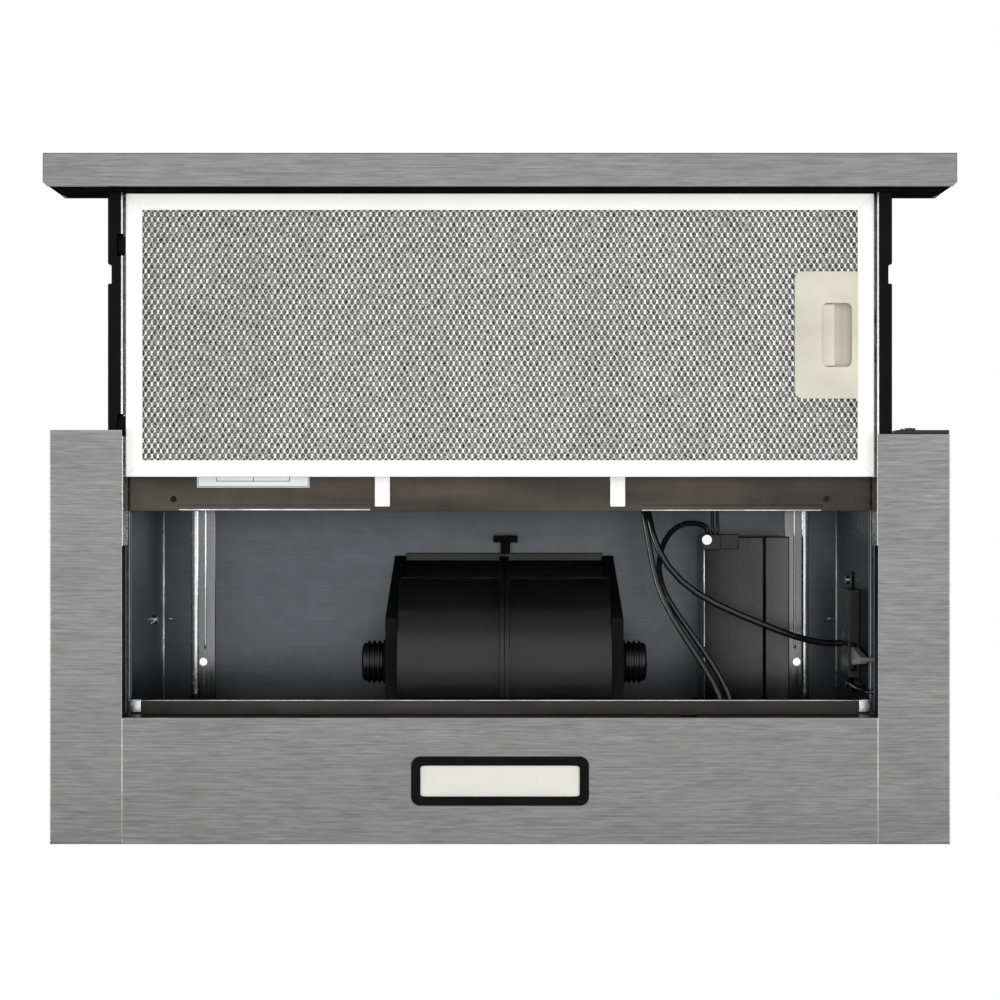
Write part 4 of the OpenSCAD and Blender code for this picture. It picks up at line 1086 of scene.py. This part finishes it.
    def close(self, bm, grids):
        """Joins the two faces of the slab round their borders."""
        partner = {
            a: b
            for lower, upper in zip(*grids)
            for a, b in zip(lower, upper)
            if a.is_valid and b.is_valid
        }
        for edge in [edge for edge in bm.edges if edge.is_boundary]:
            a, b = edge.verts
            if a in partner and b in partner:
                bm.faces.new((a, b, partner[b], partner[a]))

    def build(self):
        values = settings("filter")
        frame_low, frame_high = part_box("filter_frame")
        core_low, core_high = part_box("filter_core")
        keep_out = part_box("latch_plate")
        inset = HOOD_OT_filter_frame.border - self.hidden
        window = (
            (frame_low.x + HOOD_OT_filter_frame.hook_reach + inset, frame_low.y + inset),
            (frame_high.x - inset, frame_high.y - inset),
        )
        lower_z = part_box("filter_mesh")[0].z + self.lower_lift
        lower = self.sheet("filter_mesh_lower", lower_z, window, keep_out, values, 1)
        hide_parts("filter_mesh")
        upper_z = frame_high.z - self.upper_drop
        self.sheet("filter_mesh_upper", upper_z, window, keep_out, values, -1)
        core_low.z -= self.pack_drop
        core_high.z -= self.pack_gap
        piece(
            "filter_pack", self.pack(core_low, core_high, keep_out), "grease_filter",
            "pack_aluminium", ["filter_core"], weighted=False,
        )


def inside(point, box):
    """True if the point is over the box, seen from above."""
    low, high = box
    return low.x < point.x < high.x and low.y < point.y < high.y


class HOOD_OT_latch(HoodOperator, Operator):
    """Latch plate with its finger pocket, and the slider"""

    bl_idname = "hood.latch"
    bl_label = "Filter latch"

    def build(self):
        moulding = settings("moulding")
        formed("latch_plate", [moulding.edge_radius, 0.5 * moulding.edge_radius], segments=3)
        formed("latch_slider", [moulding.edge_radius, 0.4 * moulding.edge_radius], segments=3)


class HOOD_OT_blower(HoodOperator, Operator):
    """Fan housing, inlet plates, caps, motor, shaft and wheels"""

    bl_idname = "hood.blower"
    bl_label = "Blower"

    def build(self):
        edge = settings("moulding").edge_radius
        for node in ("scroll_left", "scroll_right"):
            formed(node, [edge, 0.5 * edge])
        for node in ("inlet_plate_left", "inlet_plate_right"):
            formed(node, [edge, 0.5 * edge], "matt_black")
        formed("housing_clip", [edge], "matt_black")
        formed("motor", [2 * edge, edge])
        formed("motor_bracket", [0.5 * edge])
        self.caps()
        for node in ("rotor_shaft", "impeller_left", "impeller_right"):
            recolour(node)

    def caps(self):
        """Ribbed bearing holders at both ends of the shaft."""
        low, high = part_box("bearing_caps")
        middle = 0.5 * (low + high)
        radius = 0.5 * (high.y - low.y)
        # Distances from the inner end in mm, and shares of the radius
        profile = [(0, 0.80), (0.6, 0.90)]
        for start in (2.0, 5.6, 9.2):
            profile += [(start, 0.90), (start + 0.5, 1), (start + 1.7, 1), (start + 2.2, 0.90)]
        profile += [(13.6, 0.90), (14.7, 0.82), (15, 0.72), (15, 0.42), (13.5, 0.38)]
        profile = [(along * MM, share * radius) for along, share in profile]
        bm = bmesh.new()
        for side, tip in ((-1, low.x), (1, high.x)):
            root = (tip - side * 15 * MM, middle.y, middle.z)
            turned(bm, profile, root, (side, 0, 0))
        piece("bearing_caps_ribbed", bm, "hood", "black_plastic", ["bearing_caps"])


class HOOD_OT_outlet(HoodOperator, Operator):
    """Outlet collar, its two flaps and the cable gland"""

    bl_idname = "hood.outlet"
    bl_label = "Outlet"

    def build(self):
        edge = settings("moulding").edge_radius
        formed("outlet_collar", [edge])
        formed("cable_gland", [0.5 * edge])
        for node in ("flap_front", "flap_rear"):
            formed(node, [0.5 * edge])


class HOOD_OT_electrics(HoodOperator, Operator):
    """Junction box, its contents, the drawer switch and its lever"""

    bl_idname = "hood.electrics"
    bl_label = "Electrics"

    def build(self):
        steel, moulding = settings("steel"), settings("moulding")
        formed("junction_box", [steel.fold_radius, steel.burr_radius], "box_steel", segments=3)
        edge = moulding.edge_radius
        for node in ("box_bracket", "capacitor", "terminal_block", "drawer_switch"):
            formed(node, [edge, 0.5 * edge])
        formed("switch_lever", [edge, 0.5 * edge], "lever_plastic")


class HOOD_OT_lamp(HoodOperator, Operator):
    """Lamp bezel, crowned lens, housing and board"""

    bl_idname = "hood.lamp"
    bl_label = "Lamp"

    def build(self):
        edge = settings("moulding").edge_radius
        formed("lamp_bezel", [edge, 0.5 * edge], "matt_black", segments=3)
        formed("lamp_housing", [edge])
        formed("led_board", [0.1 * edge])
        self.lens()

    def lens(self):
        """Lens with rounded corners and a gentle crown."""
        crown = settings("moulding").lens_crown
        low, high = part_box("lamp_lens")
        middle, half = 0.5 * (low + high), 0.5 * (high - low)
        ring_count, around, corner_power = 14, 160, 0.07
        inmost, steepness, chamfer = 0.985, 6, 0.4 * MM
        rim = []
        for k in range(around):
            a = 2 * math.pi * (k + 0.5) / around
            rim.append([
                size * math.copysign(abs(part) ** corner_power, part)
                for size, part in ((half.x, math.cos(a)), (half.y, math.sin(a)))
            ])
        rings = [[(middle.x + x, middle.y + y, high.z) for x, y in rim]]
        for i in range(ring_count + 1):
            share = 1 - inmost * (i / ring_count) ** 2
            z = low.z + crown * share ** steepness + (chamfer if i == 0 else 0)
            rings.append([(middle.x + x * share, middle.y + y * share, z) for x, y in rim])
        bm = bmesh.new()
        loft(bm, rings)
        piece("lamp_lens_crowned", bm, "hood", "lamp_lens", ["lamp_lens"], sharp=50, weighted=False)


class HOOD_OT_controls(HoodOperator, Operator):
    """Control panel end cap and its two slider knobs"""

    bl_idname = "hood.controls"
    bl_label = "Controls"

    def build(self):
        formed("control_panel", [settings("moulding").edge_radius])
        for node in ("lamp_knob", "speed_knob"):
            self.knob(node)

    def knob(self, node):
        """Slider knob: the CAD shape with raised grip ribs on its face."""
        ribs = settings("moulding").grip_ribs
        low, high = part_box(node)
        half, depth, gap = 0.3 * MM, 0.6 * MM, 0.8 * MM
        bm = node_shape(node)
        soften(bm, 0.5 * MM)
        for k in range(ribs):
            x = low.x + (high.x - low.x) * (k + 0.5) / ribs
            block(bm, (x - half, low.y, low.z + gap), (x + half, low.y + depth, high.z - gap))
        piece(node + "_formed", bm, BODIES[node], SLOTS[node], [node])


class HOOD_OT_cables(HoodOperator, Operator):
    """Sheathed leads between the controls, switch, motor, lamp and junction box"""

    bl_idname = "hood.cables"
    bl_label = "Cables"

    nodes = (
        "switch_cable", "lamp_cable", "box_cable", "supply_wires", "motor_lead", "control_cable"
    )

    def build(self):
        for node in self.nodes:
            self.sheath(node)

    def sheath(self, node):
        """Round, smooth sheath over the lead's rings."""
        bm = welded(node)
        flat, skew = math.radians(25), math.radians(60)
        bmesh.ops.join_triangles(
            bm, faces=bm.faces, angle_face_threshold=flat, angle_shape_threshold=skew
        )
        body, look = BODIES[node], SLOTS[node]
        made = piece(node + "_sheath", bm, body, look, [node], sharp=60, weighted=False)
        smooth = made.modifiers.new("round", "SUBSURF")
        smooth.levels = smooth.render_levels = 1


PIECES = (
    HOOD_OT_stage, HOOD_OT_body, HOOD_OT_underside, HOOD_OT_small_parts, HOOD_OT_drawer,
    HOOD_OT_filter_frame, HOOD_OT_filter_mesh, HOOD_OT_latch, HOOD_OT_blower, HOOD_OT_outlet,
    HOOD_OT_electrics, HOOD_OT_lamp, HOOD_OT_controls, HOOD_OT_cables,
)
GROUPS = {
    "steel": HoodSteelSettings,
    "filter": HoodFilterSettings,
    "moulding": HoodMouldingSettings,
    "stage": HoodStageSettings,
}


class HOOD_PT_panel(Panel):
    """Lists the sizes, colours and pieces of the hood"""

    bl_idname = "HOOD_PT_panel"
    bl_label = "Cooker Hood"
    bl_space_type = "VIEW_3D"
    bl_region_type = "UI"
    bl_category = "Cooker Hood"

    def draw(self, context):
        for name, group in GROUPS.items():
            box = self.layout.box()
            box.label(text=name.capitalize())
            for value in group.__annotations__:
                box.prop(getattr(context.scene, "hood_" + name), value)
        column = self.layout.column(align=True)
        for operator in PIECES:
            column.operator(operator.bl_idname)


def register():
    """Registers the settings, operators and panel."""
    for name, group in GROUPS.items():
        bpy.utils.register_class(group)
        setattr(bpy.types.Scene, "hood_" + name, PointerProperty(type=group))
    for cls in (*PIECES, HOOD_PT_panel):
        bpy.utils.register_class(cls)


def unregister():
    """Takes everything out again."""
    for cls in (HOOD_PT_panel, *reversed(PIECES)):
        bpy.utils.unregister_class(cls)
    for name, group in GROUPS.items():
        delattr(bpy.types.Scene, "hood_" + name)
        bpy.utils.unregister_class(group)


def corners(box):
    """A box as plain lists of numbers."""
    return [[float(value) for value in corner] for corner in box]


def main():
    """Builds everything in order."""
    register()
    for operator in PIECES:
        name = operator.bl_idname.split(".")[1]
        getattr(bpy.ops.hood, name)()


if __name__ == "__main__":
    main()
